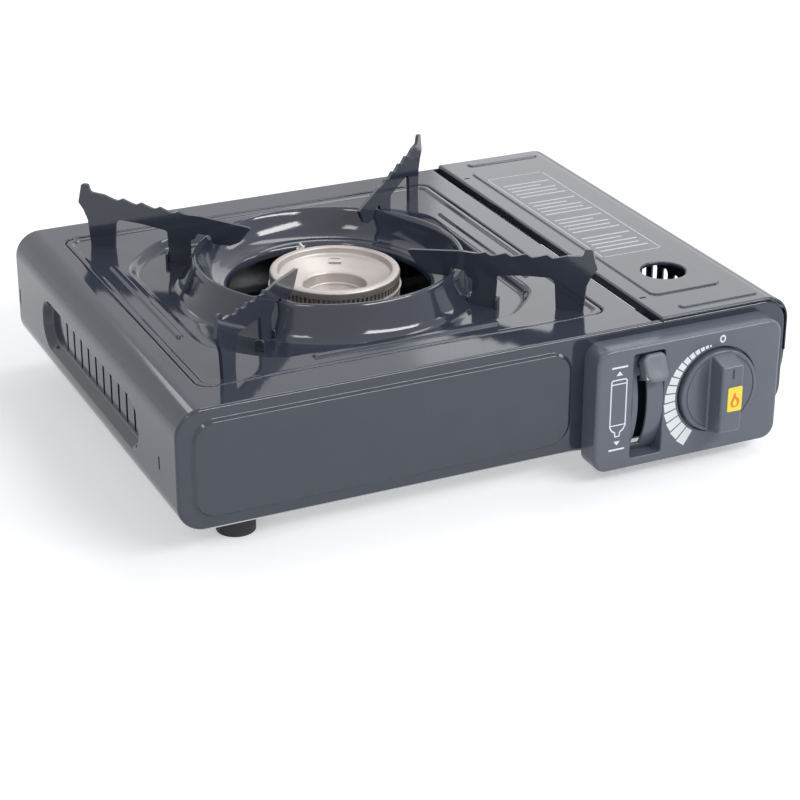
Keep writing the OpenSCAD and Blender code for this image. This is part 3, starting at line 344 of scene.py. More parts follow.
def profile(d):
    """The shell seen from the front, inset by d; its right side stops inside the lid's."""
    return rr(LX + d, WALL + d, RX - 1.6 - d, DECK - d, CORNER - d, k=10)


def pocket(d):
    """The ventilated recess of the left wall."""
    return rr(FY + 54 + d, 32 + d, FY + 213 - d, 62 - d, 14 - d, k=8)


def body_shell():
    b = Build()
    r, roll = 1.6, 2.3           # radii of the front and rear edges, and of the edge along the bay
    outer = profile(0)
    n = len(outer)

    def bead(d):
        return rr(LX + 7.2 + d, WALL + 5.6 + d, LX + 212.4 - d, WALL + 58.8 - d, 12.6 - d, k=10)
    # rounded front and rear edges, then the plates
    for y, s in ((FY, 1), (RY, -1)):
        loops = [at("y", y + s * (r + JOIN), outer)]
        for a in quarter(5):
            loops.append(at("y", y + s * r * (1 - math.sin(a)), profile(r * (1 - math.cos(a)))))
        inner = profile(r + 0.5)
        loops.append(at("y", y, inner))
        b.loft(loops)
        if y == FY:
            b.fill(inner, [bead(0)], on("y", y))
            top, level = b.press("y", bead, 2.6, FY, -1.8, steps=8, lip=0.3)
            b.fill(top, [], on("y", level))
        else:
            b.fill(inner, [], on("y", RY))
    ya, yb = FY + r + JOIN, RY - r - JOIN
    # the two rounded long edges on the left
    for i in range(n):
        p, q = outer[i], outer[(i + 1) % n]
        if max(p[0], q[0]) < LX + CORNER + 0.01 and abs(p[0] - q[0]) > 1e-6:
            b.strip(p, q, ya, yb)
    # left wall with two small slots, the pocket and its vents
    slots = [[(FY + 24.2, 40), (FY + 25.8, 40), (FY + 25.8, 47), (FY + 24.2, 47)],
             [(RY - 5.3, 39), (RY - 3.7, 39), (RY - 3.7, 48), (RY - 5.3, 48)]]
    b.fill([(ya, WALL + CORNER), (yb, WALL + CORNER), (yb, DECK - CORNER), (ya, DECK - CORNER)],
           [pocket(0)] + slots, on("x", LX))
    floor, level = b.press("x", pocket, 4.4, LX, 5.0, steps=7, lip=0.5)
    vents = []
    for i in range(11):
        y = FY + 62 + 12.2 * i
        top = 57.3 - (6 if i == 0 else 0)
        vents.append(rr(y - 1.4, 37.4, y + 1.4, top, 1.39, k=4))
    b.fill(floor, vents, on("x", level))

    # deck round the tray, and the ledge that carries it
    def well(d):
        return rr(TX0 - 0.6 + d, TY0 - 0.6 + d, TX1 + 0.6 - d, TY1 + 0.6 - d, 7.6 - d * 0.5, k=8)
    b.fill([(LX + CORNER, ya), (BAY - roll - 0.3, ya), (BAY - roll - 0.3, yb), (LX + CORNER, yb)],
           [well(-1.4)], on("z", DECK))
    loops = [at("z", DECK, well(-1.4)), at("z", DECK, well(-1.1))]
    for a in quarter(4)[1:]:
        loops.append(at("z", DECK - 0.8 * (1 - math.cos(a)), well(-0.8 + 0.8 * math.sin(a))))
    loops += [at("z", DECK - 1.6, well(0.1)), at("z", DECK - 1.7, well(7))]
    b.loft(loops)
    # edge rolled down along the bay
    lip = [(BAY - roll - 0.3, DECK), (BAY - roll, DECK)]
    lip += [(BAY - roll + roll * math.sin(a), DECK - roll + roll * math.cos(a))
            for a in np.linspace(0.15, math.pi / 2, 8)]
    lip += [(BAY, DECK - 7)]
    b.loft([[(x, ya, z) for x, z in lip], [(x, yb, z) for x, z in lip]], closed=False)
    # bottom flange
    right = RX - 1.6 - CORNER
    b.fill([(LX + CORNER, ya), (right, ya), (right, yb), (LX + CORNER, yb)],
           [[(LX + 22, FY + 8), (147, FY + 8), (147, RY - 8), (LX + 22, RY - 8)]], on("z", WALL))
    b.make("shell", "enamel_black", "stove_body", ["body_shell"], ref=(0, 10, 45), solid=0.9)


body_shell()


# ---------- drip tray ----------

def basin(d):
    """Outline of the round basin where the square land clips it, inset by d."""
    cx, cy = RING
    radius, rim, blend, n = 110, 18, 5.0, 192
    out = []
    for i in range(n):
        a = TAU * i / n
        c, s = math.cos(a), math.sin(a)
        x0, x1 = TX0 + rim + d - cx, TX1 - rim - d - cx
        y0, y1 = TY0 + rim + d - cy, TY1 - rim - d - cy
        cand = [radius - d]
        if abs(c) > 1e-6:
            cand.append((x1 if c > 0 else x0) / c)
        if abs(s) > 1e-6:
            cand.append((y1 if s > 0 else y0) / s)
        m, k = sorted(cand)[:2]
        h = max(0.0, blend - (k - m)) / blend        # 1 where two sides meet
        m -= h * h * blend * 0.25
        out.append((cx + m * c, cy + m * s))
    return out


def drip_tray():
    b = Build()
    cx, cy = RING
    low = LAND - SUNK
    round_r, gutter = 0.9, 5.0   # the rim's rounding, and how far in its gutter ends

    def edge(d):
        return rr(TX0 + d, TY0 + d, TX1 - d, TY1 - d, 7 - 0.4 * d, k=8)
    loops = [at("z", LAND - round_r - 0.1, edge(0))]
    for a in quarter(4)[1:]:
        loops.append(at("z", LAND - round_r + round_r * math.sin(a), edge(round_r * (1 - math.cos(a)))))
    loops.append(at("z", LAND, edge(2.2)))
    # shallow gutter just inside the rim
    for i in range(7):
        t = i / 6
        loops.append(at("z", LAND - SUNK * ease(t), edge(2.4 + 2.2 * t)))
    loops.append(at("z", low, edge(gutter)))
    b.loft(loops)
    beads = []
    spots = [(TX0 + 10.5, cy - 45, TX0 + 15.5, cy + 62), (TX1 - 15, cy - 45, TX1 - 10, cy + 62),
             (cx - 50, TY0 + 10.5, cx + 54, TY0 + 15.5)]
    for x0, y0, x1, y1 in spots:
        def bead(d, q=(x0, y0, x1, y1)):
            return rr(q[0] + d, q[1] + d, q[2] - d, q[3] - d, 2.49 - d, k=6)
        beads.append(bead(0))
        top, level = b.press("z", bead, 1.5, low, 1.2, steps=6, lip=0.1)
        b.fill(top, [], on("z", level))
    b.fill(edge(gutter), [basin(0)] + beads, on("z", low))
    foot, level = b.press("z", basin, 6.0, low, BASIN - low, steps=8)
    b.fill(foot, [ring(cx, cy, 86, RING_STEPS)], on("z", level))
    # the raised ring, from its outer foot over the crest and down to the opening
    path = smooth_path([(86, level), (83.5, level), (81.0, level + 0.5), (78.2, level + 3.2), (75.6, level + 8.4),
                        (73.6, level + 13.6), (72.9, level + 15.9), (71.8, level + 17.7), (70.2, level + 17.6),
                        (68.8, level + 15.6), (66.6, level + 10.6), (63.6, level + 6.0), (60.2, level + 4.0),
                        (57.0, level + 3.2), (55.2, level + 2.2), (54.2, level + 0.2), (54.0, level - 1.8)], 4)
    b.revolve(cx, cy, path)
    b.make("tray", "enamel_black", "tray", ["drip_tray"], ref=(-36, 12, -2000), solid=0.8)


drip_tray()


# ---------- cartridge lid ----------

def cartridge_lid():
    b = Build()
    x0, e = 93.0, 1.2            # left edge, and the radius of the edges
    flat0, flat1 = x0 + 2.0, RX - CORNER     # the flat part of the top
    knee, plate = 60, 50         # heights where the side plate and its cut-back corners start

    def prof(d):
        """Open outline from the turned-down left edge over the top to the side plate, inset by d."""
        pts = [(x0 + d, LID - 5), (x0 + d, LID - e)]
        pts += [(x0 + e + (e - d) * math.cos(a), LID - e + (e - d) * math.sin(a))
                for a in np.linspace(math.pi, math.pi / 2, 5)[1:]]
        pts += [(flat0, LID - d), (flat1, LID - d)]
        pts += [(flat1 + (CORNER - d) * math.cos(a), LID - CORNER + (CORNER - d) * math.sin(a))
                for a in np.linspace(math.pi / 2, 0, 15)[1:]]
        pts += [(RX - d, knee), (RX - d, plate)]
        return pts
    rows = [(0.0, e)]            # depth from the end face and inset, up to the full outline
    rows += [(e * (1 - math.sin(a)), e * (1 - math.cos(a))) for a in quarter(5)[-2::-1]]
    for y, s in ((FY, 1), (RY, -1)):
        loops = [[(px, y + s * dy, pz) for px, pz in prof(d)] for dy, d in rows]
        loops.append([(px, y + s * (e + JOIN), pz) for px, pz in prof(0)])
        b.loft(loops, closed=False)
    ya, yb = FY + e + JOIN, RY - e - JOIN
    p = prof(0)
    top_i = next(i for i, q in enumerate(p) if abs(q[0] - flat0) < 1e-6)
    for i in range(len(p) - 3):  # all but the pierced top and side
        if i != top_i:
            b.strip(p[i], p[i + 1], ya, yb)

    def panel(d):
        return rr(RX - 68 + d, FY + 26.4 + d, RX - 24 - d, RY - 22.0 - d, 5.5 - d, k=6)
    holes = [panel(0)]
    top, level = b.press("z", panel, 1.5, LID, RISE, steps=6, lip=0.2)
    view, soft = ring(*VIEW, VIEW_R, 48), 0.9
    b.fill(top, [view], on("z", level))
    loops = [at("z", level, view)]
    for a in quarter(5)[1:]:
        loops.append(at("z", level - soft * (1 - math.cos(a)), ring(*VIEW, VIEW_R - soft * math.sin(a), 48)))
    loops.append(at("z", level - soft - 1, ring(*VIEW, VIEW_R - soft, 48)))
    b.loft(loops)
    for y in (FY + 9, RY - 9.5):
        def bead(d, y=y):
            return rr(RX - 63 + d, y - 3.2 + d, RX - 15 - d, y + 3.2 - d, 3.19 - d, k=6)
        holes.append(bead(0))
        top, level = b.press("z", bead, 1.6, LID, RISE, steps=6, lip=0.1)
        b.fill(top, [], on("z", level))
    for y in (FY + 27, RY - 30):
        holes.append(rr(96.0, y, 100.0, y + 1.4, 0.6, k=3))
    b.fill([(flat0, ya), (flat1, ya), (flat1, yb), (flat0, yb)], holes, on("z", LID))
    # vents of the side; their tops differ by a hair, so that the filled face has no corners in line
    vents = []
    for i in range(9):
        y = FY + 85.6 + 11.75 * i
        vents.append(rr(y - 2.75, 34, y + 2.75, 52 + 0.02 * (i % 3), 2.7, k=5))
    # the side plate, its lower corners cut back
    foot, cut = 22.0, 9.0
    bend = [(t * t * cut, plate - (plate - foot) * t) for t in np.linspace(0, 1, 9)]
    side = [(yb - u, z) for u, z in bend[::-1]]
    side += [(yb, knee), (yb, LID - CORNER), (ya, LID - CORNER), (ya, knee)]
    side += [(ya + u, z) for u, z in bend]
    b.fill(side, vents, on("x", RX))
    b.make("lid", "enamel_black", "lid", ["cartridge_lid"], ref=(90, 13, 20), solid=0.9)


cartridge_lid()


# ---------- control panel ----------

PX0, PX1, PZ0, PZ1 = 48.4, 157.8, 7.5, 75.5      # outline of the panel
AX0, AX1, AZ0, AZ1 = 69.2, 87.6, 13.0, 71.0      # outline of the lever's recess
LEVER_X = 75.3
PIVOT = (PY + 40, 42.0)          # axis of the lever, in y and z
SLOT = (LEVER_X - 2.7, LEVER_X + 2.7, 17.0, 58.0)        # slot of the lever's guide: x and z
DRUM_R = 52.0                    # radius of the guide, which is convex


def drum_y(z):
    """Where the guide's face stands at height z."""
    return PY + DRUM_R - math.sqrt(DRUM_R * DRUM_R - (z - PIVOT[1]) ** 2)


def control_panel():
    b = Build()

    def out(d):
        return rr(PX0 + d, PZ0 + d, PX1 - d, PZ1 - d, 8 - d, k=10)
    r = 2.0                      # radius of the front edge
    loops = [at("y", FY, out(0)), at("y", PY + r + 0.4, out(0))]
    for a in quarter(6):
        loops.append(at("y", PY + r * (1 - math.sin(a)), out(r * (1 - math.cos(a)))))
    loops.append(at("y", PY, out(r + 0.5)))
    b.loft(loops)
    seat_r, soft, depth = 23.5, 0.6, 2.5
    seat = ring(*KNOB, seat_r + soft, 72)

    def arch(d):
        return rr(AX0 + d, AZ0 + d, AX1 - d, AZ1 - d, 1.6 - 0.3 * d, k=4)
    b.fill(out(r + 0.5), [seat, arch(-0.7)], on("y", PY))
    # seat of the knob
    loops = []
    for a in quarter(4):
        loops.append(at("y", PY + soft * (1 - math.cos(a)), ring(*KNOB, seat_r + soft * (1 - math.sin(a)), 72)))
    loops += [at("y", PY + depth, ring(*KNOB, r, 72)) for r in (seat_r, 4)]
    b.loft(loops)
    # recess of the lever
    loops = []
    for a in quarter(4):
        loops.append(at("y", PY + 0.7 * (1 - math.cos(a)), arch(-0.7 + 0.7 * math.sin(a))))
    loops += [at("y", PY + 1.4, arch(0)), at("y", FY, arch(0))]
    b.loft(loops)
    b.make("panel", "panel_plastic", "stove_body", ["control_panel"], ref=(103, FY + 6, 41), sharp=40)
    # convex guide of the lever, with its slot
    d = Build()
    zs = [AZ0, 15.5] + [float(z) for z in np.linspace(SLOT[2], SLOT[3], 19)] + [60.5, 64.0, 67.5, AZ1]
    xs = [AX0, SLOT[0], SLOT[1], AX1]
    for i in range(3):
        for j in range(len(zs) - 1):
            if i == 1 and SLOT[2] - 0.01 <= zs[j] and zs[j + 1] <= SLOT[3] + 0.01:
                continue         # the slot itself
            q = [(xs[i], zs[j]), (xs[i + 1], zs[j]), (xs[i + 1], zs[j + 1]), (xs[i], zs[j + 1])]
            d.add([(x, drum_y(z), z) for x, z in q], QUAD)
    d.make("lever_guide", "panel_plastic", "stove_body", ref=(76, FY, 42), solid=1.6, bevel=0.3)


control_panel()


# ---------- prints: shared shapes ----------

INK = 0.03                       # thickness of a print


def tag(name, slot, body, outline, y, put=None):
    """A thin plate in front of a face that looks toward -Y: a printed mark, and also the painted shade of the knob
    pointer's groove.
    """
    b = Build()
    put = put or (lambda p, d: (p[0], y + d, p[1]))
    b.loft([[put(p, 0.0) for p in outline], [put(p, INK) for p in outline]])
    tris = tessellate_polygon([[Vector((p[0], p[1], 0)) for p in outline]])
    b.add([put(p, 0.0) for p in outline], tris)
    b.add([put(p, INK) for p in outline], tris)
    b.make(name, slot, body, weighted=False, merge=0.0001)


def line_mark(name, outer, inner, y, ref):
    """A printed line between two outlines on the panel."""
    b = Build()
    b.loft([at("y", y, outer), at("y", y, inner)])
    for edge in (outer, inner):
        b.loft([at("y", y, edge), at("y", y + INK, edge)])
    b.make(name, "print_white", "stove_body", weighted=False, ref=ref, merge=0.0001)


# ---------- gas knob ----------

def gas_knob():
    b = Build()
    kx, kz = KNOB
    face = PY - 14.5             # face of the grip
    disc = PY - 3.0              # face of the disc under it
    soft = 1.2
    prof = [(4.0, PY + 2.3), (KNOB_R - 0.9, PY + 2.3), (KNOB_R, PY + 1.6), (KNOB_R, disc + 1.3)]
    prof += [(KNOB_R - soft * (1 - math.cos(a)), disc + soft * (1 - math.sin(a)))
             for a in np.linspace(0.2, math.pi / 2, 5)]
    # shallow groove near the disc's edge
    prof += [(20.9, disc), (20.5, disc + 0.05), (20.2, disc + 0.5), (19.7, disc + 0.5), (19.4, disc + 0.05),
             (19.0, disc), (0.001, disc)]
    b.loft([at("y", y, ring(kx, kz, r, 120)) for r, y in prof])
    b.make("knob_disc", "panel_plastic", "knob", ["gas_knob"], ref=(kx, PY, kz), sharp=35)
    # grip ridge with rounded edges and leaning ends
    g = Build()
    wide, foot, head = 6.45, 21.3, 18.4      # half width, and half length at the disc and at the face
    r = 1.3

    def sect(y, half, top, r):
        return at("y", y, rr(kx - half, kz - top, kx + half, kz + top, r, k=6))
    flare = [(disc + 0.02, 1.1), (disc - 0.25, 0.55), (disc - 0.7, 0.18), (disc - r, 0.0)]
    loops = [sect(y, wide + gr, foot + gr * 0.1, r) for y, gr in flare]
    lean = (foot - head) / (disc - r - face)
    for a in quarter(6):
        y = face + r * (1 - math.sin(a))
        inset = r * (1 - math.cos(a))
        loops.append(sect(y, wide - inset, head + lean * (y - face) - inset, r - 0.5 * (1 - math.cos(a))))
    g.loft(loops)
    last = sect(face, wide - r, head - r, 0.8)
    g.cap(last)
    g.make("knob_grip", "panel_plastic", "knob", ref=(kx, PY - 8, kz), sharp=50)
    # pointer groove in the ridge face, drawn as a flat dark strip: painted shade of the groove; and the label
    tag("pointer_groove_shade", "rubber_black", "knob", [(kx - 0.55, kz + 11.6), (kx + 0.55, kz + 11.6),
                                                (kx + 0.55, kz + 17.0), (kx - 0.55, kz + 17.0)], face - 0.02)
    lab = Build()

    def plate(d):
        return rr(kx - 2.7 + d, kz - 6.8 + d, kx + 5.9 - d, kz + 6.8 - d, 1.0 - d, k=4)
    loops = [at("y", face + 0.02, plate(0)), at("y", face - 0.18, plate(0)), at("y", face - 0.25, plate(0.1))]
    lab.loft(loops)
    lab.cap(loops[-1])
    lab.make("label", "label_yellow", "knob", ["knob_label"], ref=(kx, face + 5, kz))
    # plain flame mark
    cx, cz = kx + 1.6, kz - 0.4
    flame = [(0, -4.2), (1.9, -3.6), (2.8, -1.8), (2.5, 0.2), (1.5, 1.6), (1.2, 0.6), (0.5, 2.4), (0.2, 4.4),
             (-1.1, 3.0), (-1.6, 1.0), (-2.3, -0.2), (-2.7, -2.0), (-1.8, -3.7)]
    tag("flame_mark", "print_orange", "knob", [(cx + u, cz + v) for u, v in flame], face - 0.27)
    core = [(0, -3.4), (1.1, -2.8), (1.3, -1.6), (0.6, -0.2), (0.1, 1.0), (-0.7, -0.4), (-1.2, -1.6), (-0.9, -2.9)]
    tag("flame_core", "label_yellow", "knob", [(cx + u, cz + v) for u, v in core], face - 0.29)


gas_knob()


# ---------- thumb pad of the lever ----------

def lever_pad():
    up = math.radians(24)        # how far the arm leans up at rest

    def world(u, w, x):
        """u outward along the arm, w across it (up), x to the right."""
        return (x, PIVOT[0] - u * math.cos(up) + w * math.sin(up), PIVOT[1] + u * math.sin(up) + w * math.cos(up))
    b = Build()
    x0, x1, w0, w1 = LEVER_X - 2.2, 87.2, -5.4, 9.6
    bow, r, tip = 2.2, 1.9, 49   # bow of the left side, radius of the front edge, reach from the pivot

    def sect(d):
        """Rounded outline in x and w, with its left side bowed."""
        return [(x + bow * ((w - 2.7) / 6.9) ** 2 * max(0.0, (x1 - x) / 14) ** 2, w)
                for x, w in rr(x0 + d, w0 + d, x1 - d, w1 - d, 3.4 - 0.5 * d, k=8)]
    loops = [[world(42.6, w, x) for x, w in sect(0.6)], [world(43.0, w, x) for x, w in sect(0.1)],
             [world(43.5, w, x) for x, w in sect(0)]]
    for a in quarter(6):
        loops.append([world(tip - r + r * math.sin(a), w, x) for x, w in sect(r * (1 - math.cos(a)))])
    # dished face
    mx, mw = (x0 + x1) / 2, (w0 + w1) / 2
    for t, u in ((0.72, 48.85), (0.42, 48.65), (0.12, 48.5)):
        loops.append([world(u, mw + (w - mw) * t, mx + (x - mx) * t) for x, w in sect(r)])
    b.loft(loops)
    b.cap(loops[-1])
    b.cap(loops[0])
    b.make("thumb_pad", "grip_plastic", "lever", ["lever_pad"], ref=world(45, mw, mx), sharp=50)


lever_pad()


# ---------- prints on the panel ----------

def prints():
    y = PY - 0.04

    def box_tag(name, x0, z0, x1, z1):
        tag(name, "print_white", "stove_body", [(x0, z0), (x1, z0), (x1, z1), (x0, z1)], y)
    # canister seen from the side, nozzle down, with arrows toward the lever's two positions
    x = 61.0
    can = [(x - 4.8, 58.4), (x - 4.8, 33.0), (x - 3.6, 30.6), (x - 1.8, 29.4), (x - 1.5, 27.0), (x + 1.5, 27.0),
           (x + 1.8, 29.4), (x + 3.6, 30.6), (x + 4.8, 33.0), (x + 4.8, 58.4), (x + 3.8, 59.4), (x - 3.8, 59.4)]
    inner = [(x - 4.1, 58.1), (x - 4.1, 33.2), (x - 3.1, 31.2), (x - 1.2, 30.0), (x - 0.9, 27.6), (x + 0.9, 27.6),
             (x + 1.2, 30.0), (x + 3.1, 31.2), (x + 4.1, 33.2), (x + 4.1, 58.1), (x + 3.5, 58.7), (x - 3.5, 58.7)]
    line_mark("canister_mark", can, inner, y, (x, PY + 50, 42))
    for i, z in enumerate((33.4, 56.4)):
        box_tag("canister_band_%d" % i, x - 4.1, z, x + 4.1, z + 0.6)
    for name, z, s in (("arrow_up", 61.4, 1), ("arrow_down", 24.6, -1)):
        tag(name, "print_white", "stove_body", [(x, z + 2.4 * s), (x - 1.9 * s, z), (x + 1.9 * s, z)], y)
    for i, (z0, z1) in enumerate(((65.4, 66.4), (19.4, 20.4))):
        box_tag("position_line_%d" % i, x - 4.6, z0, x + 4.6, z1)
    # flame scale: marks that grow counter-clockwise round the knob, and the closed position
    kx, kz = KNOB
    n = 16
    edge = [100 + 138 * (i / n) ** 1.3 for i in range(n + 1)]
    for i in range(n):
        t = i / (n - 1)
        r0, r1 = 25.1, 26.3 + 4.6 * min(1.0, 1.6 * t) + 3.2 * max(0.0, t - 0.62) / 0.38
        a0, a1 = math.radians(edge[i] + 0.7), math.radians(edge[i + 1] - 0.7)
        pts = [(kx + r * math.cos(a), kz + r * math.sin(a)) for r, a in ((r0, a0), (r1, a0), (r1, a1), (r0, a1))]
        tag("scale_%02d" % i, "print_white", "stove_body", pts, y)
    cx, cz = kx + 1.8, kz + 27.9
    ovals = [[(cx + rx * u, cz + rz * v) for u, v in ring(0, 0, 1, 24)] for rx, rz in ((1.8, 2.2), (0.95, 1.2))]
    line_mark("off_ring", *ovals, y, (cx, PY + 50, cz))
    # ruled frame with plain bars on the lid
    z = LID + RISE + 0.02

    def lid_tag(name, x0, y0, x1, y1):
        tag(name, "print_grey", "lid", [(x0, y0), (x1, y0), (x1, y1), (x0, y1)], 0,
            put=lambda p, d: (p[0], p[1], z - d))
    x0, x1, y0, y1, line = 106.5, 143.5, FY + 84.0, FY + 222.0, 0.7
    sides = ((x0, y0, x1, y0 + line), (x0, y1 - line, x1, y1), (x0, y0, x0 + line, y1), (x1 - line, y0, x1, y1))
    for i, side in enumerate(sides):
        lid_tag("frame_%d" % i, *side)
    widths = (30.0, 27.0, 29.0, 22.0, 30.0, 0)       # of the bars of a paragraph, and its gap
    pitch, left = 5.2, x0 + 3.5
    row, yy = 0, y0 + 8
    while yy < y1 - 6:
        w = widths[row % len(widths)]
        if w:
            lid_tag("bar_%02d" % row, left, yy, left + w, yy + 1.5)
        row += 1
        yy += pitch


prints()


# ---------- burner ----------

def burner_cap():
    cx, cy = BURNER
    top, base, cr, wr = 83.3, 70.7, 35.8, 17.0       # heights, and the radii of the head and of its well
    ports = 84
    n = ports * 4                # points round each turned piece
    p0, p1 = top - 8.0, top - 4.6            # foot and head of the ports
    crest, root = cr - 1.0, cr - 2.9         # the teeth's faces, and the wall between them
    soft = 1.5
    b = Build()
    # rim band, sloped dish and the deep well
    prof = [(cr - 3.2, p1), (cr - 1.2, p1), (cr - 0.9, p1 + 0.2), (cr - 0.8, p1 + 0.7), (cr - 0.8, top - 1.6)]
    prof += [(cr - 0.8 - soft * (1 - math.cos(a)), top - soft * (1 - math.sin(a)))
             for a in np.linspace(0.25, math.pi / 2, 6)]
    prof += [(cr - 3.0, top), (cr - 4.5, top), (cr - 4.9, top - 0.2), (cr - 5.1, top - 0.7), (cr - 5.3, top - 3.0),
             (cr - 5.8, top - 3.8), (cr - 7.0, top - 4.5), (wr + 4.0, top - 8.0), (wr + 2.0, top - 8.7),
             (wr + 0.8, top - 8.9), (wr + 0.1, top - 9.4), (wr - 0.1, top - 10.2), (wr - 0.2, base - 2.2),
             (wr - 0.9, base - 2.9), (wr - 1.8, base - 3.0), (4.0, base - 3.0), (3.6, base - 2.6),
             (2.9, base - 2.4), (0.001, base - 2.4)]
    b.revolve(cx, cy, prof, n)
    b.make("burner_head", "cast_aluminium", "stove_body", ["burner_cap"], ref=(cx, cy, base + 1), sharp=45)
    f = Build()
    f.revolve(cx, cy, [(cr - 3.2, p0), (cr - 0.6, p0), (cr - 0.1, p0 - 0.3), (cr, p0 - 0.8), (cr - 0.2, p0 - 1.3),
                       (cr - 1.0, p0 - 1.6), (cr - 2.2, p0 - 2.2), (cr - 2.8, base + 0.4)], n)
    f.make("burner_flange", "cast_aluminium", "stove_body", ref=(cx, cy, base + 1), sharp=45)
    # teeth between the ports, on a wall behind them, all in a darker copy of the cast metal: painted shade of the
    # port openings under the rim
    s = Build()
    for i in range(ports):
        # wall, face of the tooth, and its two sides
        for w0, r0, w1, r1 in ((0.0, root, 0.5, root), (0.5, crest, 1.0, crest),
                               (0.0, root, 0.0, crest), (0.5, root, 0.5, crest)):
            a0, a1 = TAU * (i + w0) / ports, TAU * (i + w1) / ports
            s.add([(cx + r * math.cos(a), cy + r * math.sin(a), z) for r, a, z in
                   ((r0, a0, p0 - 0.1), (r1, a1, p0 - 0.1), (r1, a1, p1 + 0.1), (r0, a0, p1 + 0.1))], QUAD)
    s.make("burner_ports", "cast_dark", "stove_body", ref=(cx, cy, base + 2), sharp=20, weighted=False)
    # small raised frame on the rear of the dish
    m = Build()
    a = math.radians(66)
    for u0, u1, t0, t1 in ((-3.4, 3.4, 0.0, 0.12), (-3.4, 3.4, 0.88, 1.0), (-3.4, -2.9, 0.12, 0.88),
                           (2.9, 3.4, 0.12, 0.88)):
        q = []
        for u, t in ((u0, t0), (u1, t0), (u1, t1), (u0, t1)):
            r, z = cr - 8.4 - 3.8 * t, top - 4.8 - 1.24 * t
            q.append((cx + r * math.cos(a) - u * math.sin(a), cy + r * math.sin(a) + u * math.cos(a), z))
        m.add(q, QUAD)
    m.make("burner_mark", "cast_aluminium", "stove_body", ref=(cx, cy, 0), solid=0.5, weighted=False)


burner_cap()


# ---------- ignition lead ----------

def tube(name, slot, body, pts, r, nodes):
    """A round tube through points in millimetres."""
    sides = 12
    path = [Vector(q) for q in smooth_path(pts, 8)]
    b = Build()
    along = (path[1] - path[0]).normalized()
    across = along.orthogonal().normalized()
    loops = []
    for i, q in enumerate(path):
        ahead = (path[min(i + 1, len(path) - 1)] - path[max(i - 1, 0)]).normalized()
        across = (along.rotation_difference(ahead) @ across).normalized()
        along = ahead
        side = along.cross(across)
        loops.append([tuple(q + (across * math.cos(TAU * k / sides) + side * math.sin(TAU * k / sides)) * r)
                      for k in range(sides)])
    b.loft(loops)
    b.cap(loops[0])
    b.cap(loops[-1])
    b.make(name, slot, body, nodes, weighted=False, sharp=60)


EP = (RING[0] + 1, BURNER[1] + 42)       # foot of the electrode
LEAD_X = 149.0
# the CAD's lead path, drawn smooth
tube("lead", "lead_red", "stove_body",
     [(EP[0], EP[1], 55.8), (EP[0], EP[1], 46), (EP[0] + 8, EP[1] + 4, 38), (39, 66, 25), (66, 71, 14.5),
      (73.6, 60, 13.6), (74, 30, 13.5), (74, -30, 13.5), (74.2, -62, 13.5), (77, -72.5, 14), (90, -76.4, 16.4),
      (118, -76.2, 18.4), (140, -76.2, 20), (147.5, -80, 24), (LEAD_X, -90, 31), (LEAD_X, FY + 16.5, 41),
      (LEAD_X, FY + 1.2, KNOB[1])], 1.35, ["ignition_lead"])


# ---------- pan supports ----------

def pan_supports():
    reach, thick = 147.5, 1.8
    tooth0, pitch, teeth = reach - 60.2, 11.1, 4
    end = tooth0 + teeth * pitch

    def top(r):
        """Height of the sloping top edge above the basin."""
        return 29.1 + (r - 74.8) * 0.0887
    # outline in distance from the ring's centre and height above the basin: tip and serrated top
    out = [(44.9, top(44.9) - 0.9), (46.2, top(46.2) - 0.25)]
    wave = [(tooth0 - 12.5, top(tooth0 - 12.5)), (tooth0 - 4.2, top(tooth0 - 4.2) - 0.8)]
    for i in range(teeth):
        r = tooth0 + i * pitch
        wave += [(r + u, top(r + u) - v) for u, v in
                 ((-1.0, 0.25), (0, 0), (0.9, 0.25), (2.6, 1.3), (4.2, 1.6), (6.8, 1.15))]
    out += smooth_path(wave + [(end, top(end))], 4)
    # horn, outer foot on the land, arch, inner foot in the basin, clip over the ring
    foot, ring_h = LAND - SUNK - BASIN + 0.02, 17.9
    out += [(reach - 8.4, top(reach - 8.4)), (reach - 7.3, top(reach - 7.3) + 0.7),
            (reach - 6.3, top(reach) + 3.2), (reach - 5.4, top(reach) + 3.6), (reach - 3.2, top(reach) + 3.6),
            (reach - 2.2, top(reach) + 2.9), (reach - 0.2, 29.4), (reach, 28.2), (reach - 2.7, 24.4),
            (reach - 5.2, 18.5), (reach - 6.5, foot), (reach - 21, foot), (reach - 21.9, 17.6),
            (reach - 22.8, 19.6), (reach - 24.9, 20.9), (109.8, 20.3), (95.2, 18.4), (94.2, 17.4), (93.4, 0.05),
            (80.9, 0.05), (80.9, 13.4), (79.9, 14.9), (78, 15.6), (76.4, ring_h + 0.6), (75.8, ring_h + 1),
            (69.0, ring_h + 1), (68.4, ring_h + 0.4), (67, ring_h - 3.6), (57, 14.4), (51.2, 17.3)]
    tris = tessellate_polygon([[Vector((p[0], BASIN + p[1], 0)) for p in out]])
    lug = [(-2.6, 0.0), (2.6, 0.0), (2.6, 4.6), (1.9, 5.8), (0.6, 6.3), (-0.6, 6.3), (-1.9, 5.8), (-2.6, 4.6)]
    for name, deg in (("rear_right", 45), ("rear_left", 135), ("front_left", -135), ("front_right", -45)):
        a = math.radians(deg)
        c, s = math.cos(a), math.sin(a)

        def put(p, w):
            return (RING[0] + p[0] * c - w * s, RING[1] + p[0] * s + w * c, BASIN + p[1])
        b = Build()
        sides = [[put(p, w) for p in out] for w in (-thick / 2, thick / 2)]
        b.loft(sides)
        for lp in sides:
            b.add(lp, tris)
        b.make("support_" + name, "enamel_black", "tray", ["pan_support_" + name], bevel=0.5, sharp=50)
        # lugs of the tray that grip the inner foot
        g = Build()
        for r, side in ((80.4, -1), (93.9, 1)):
            ends = [[put((r + side * e, v), w) for w, v in lug] for e in (-0.1, 1.3)]
            g.loft(ends)
            for lp in ends[::-1]:
                g.cap(lp)
        g.make("lugs_" + name, "enamel_black", "tray", bevel=0.4, sharp=50)


pan_supports()


# ---------- the CAD parts that stay ----------

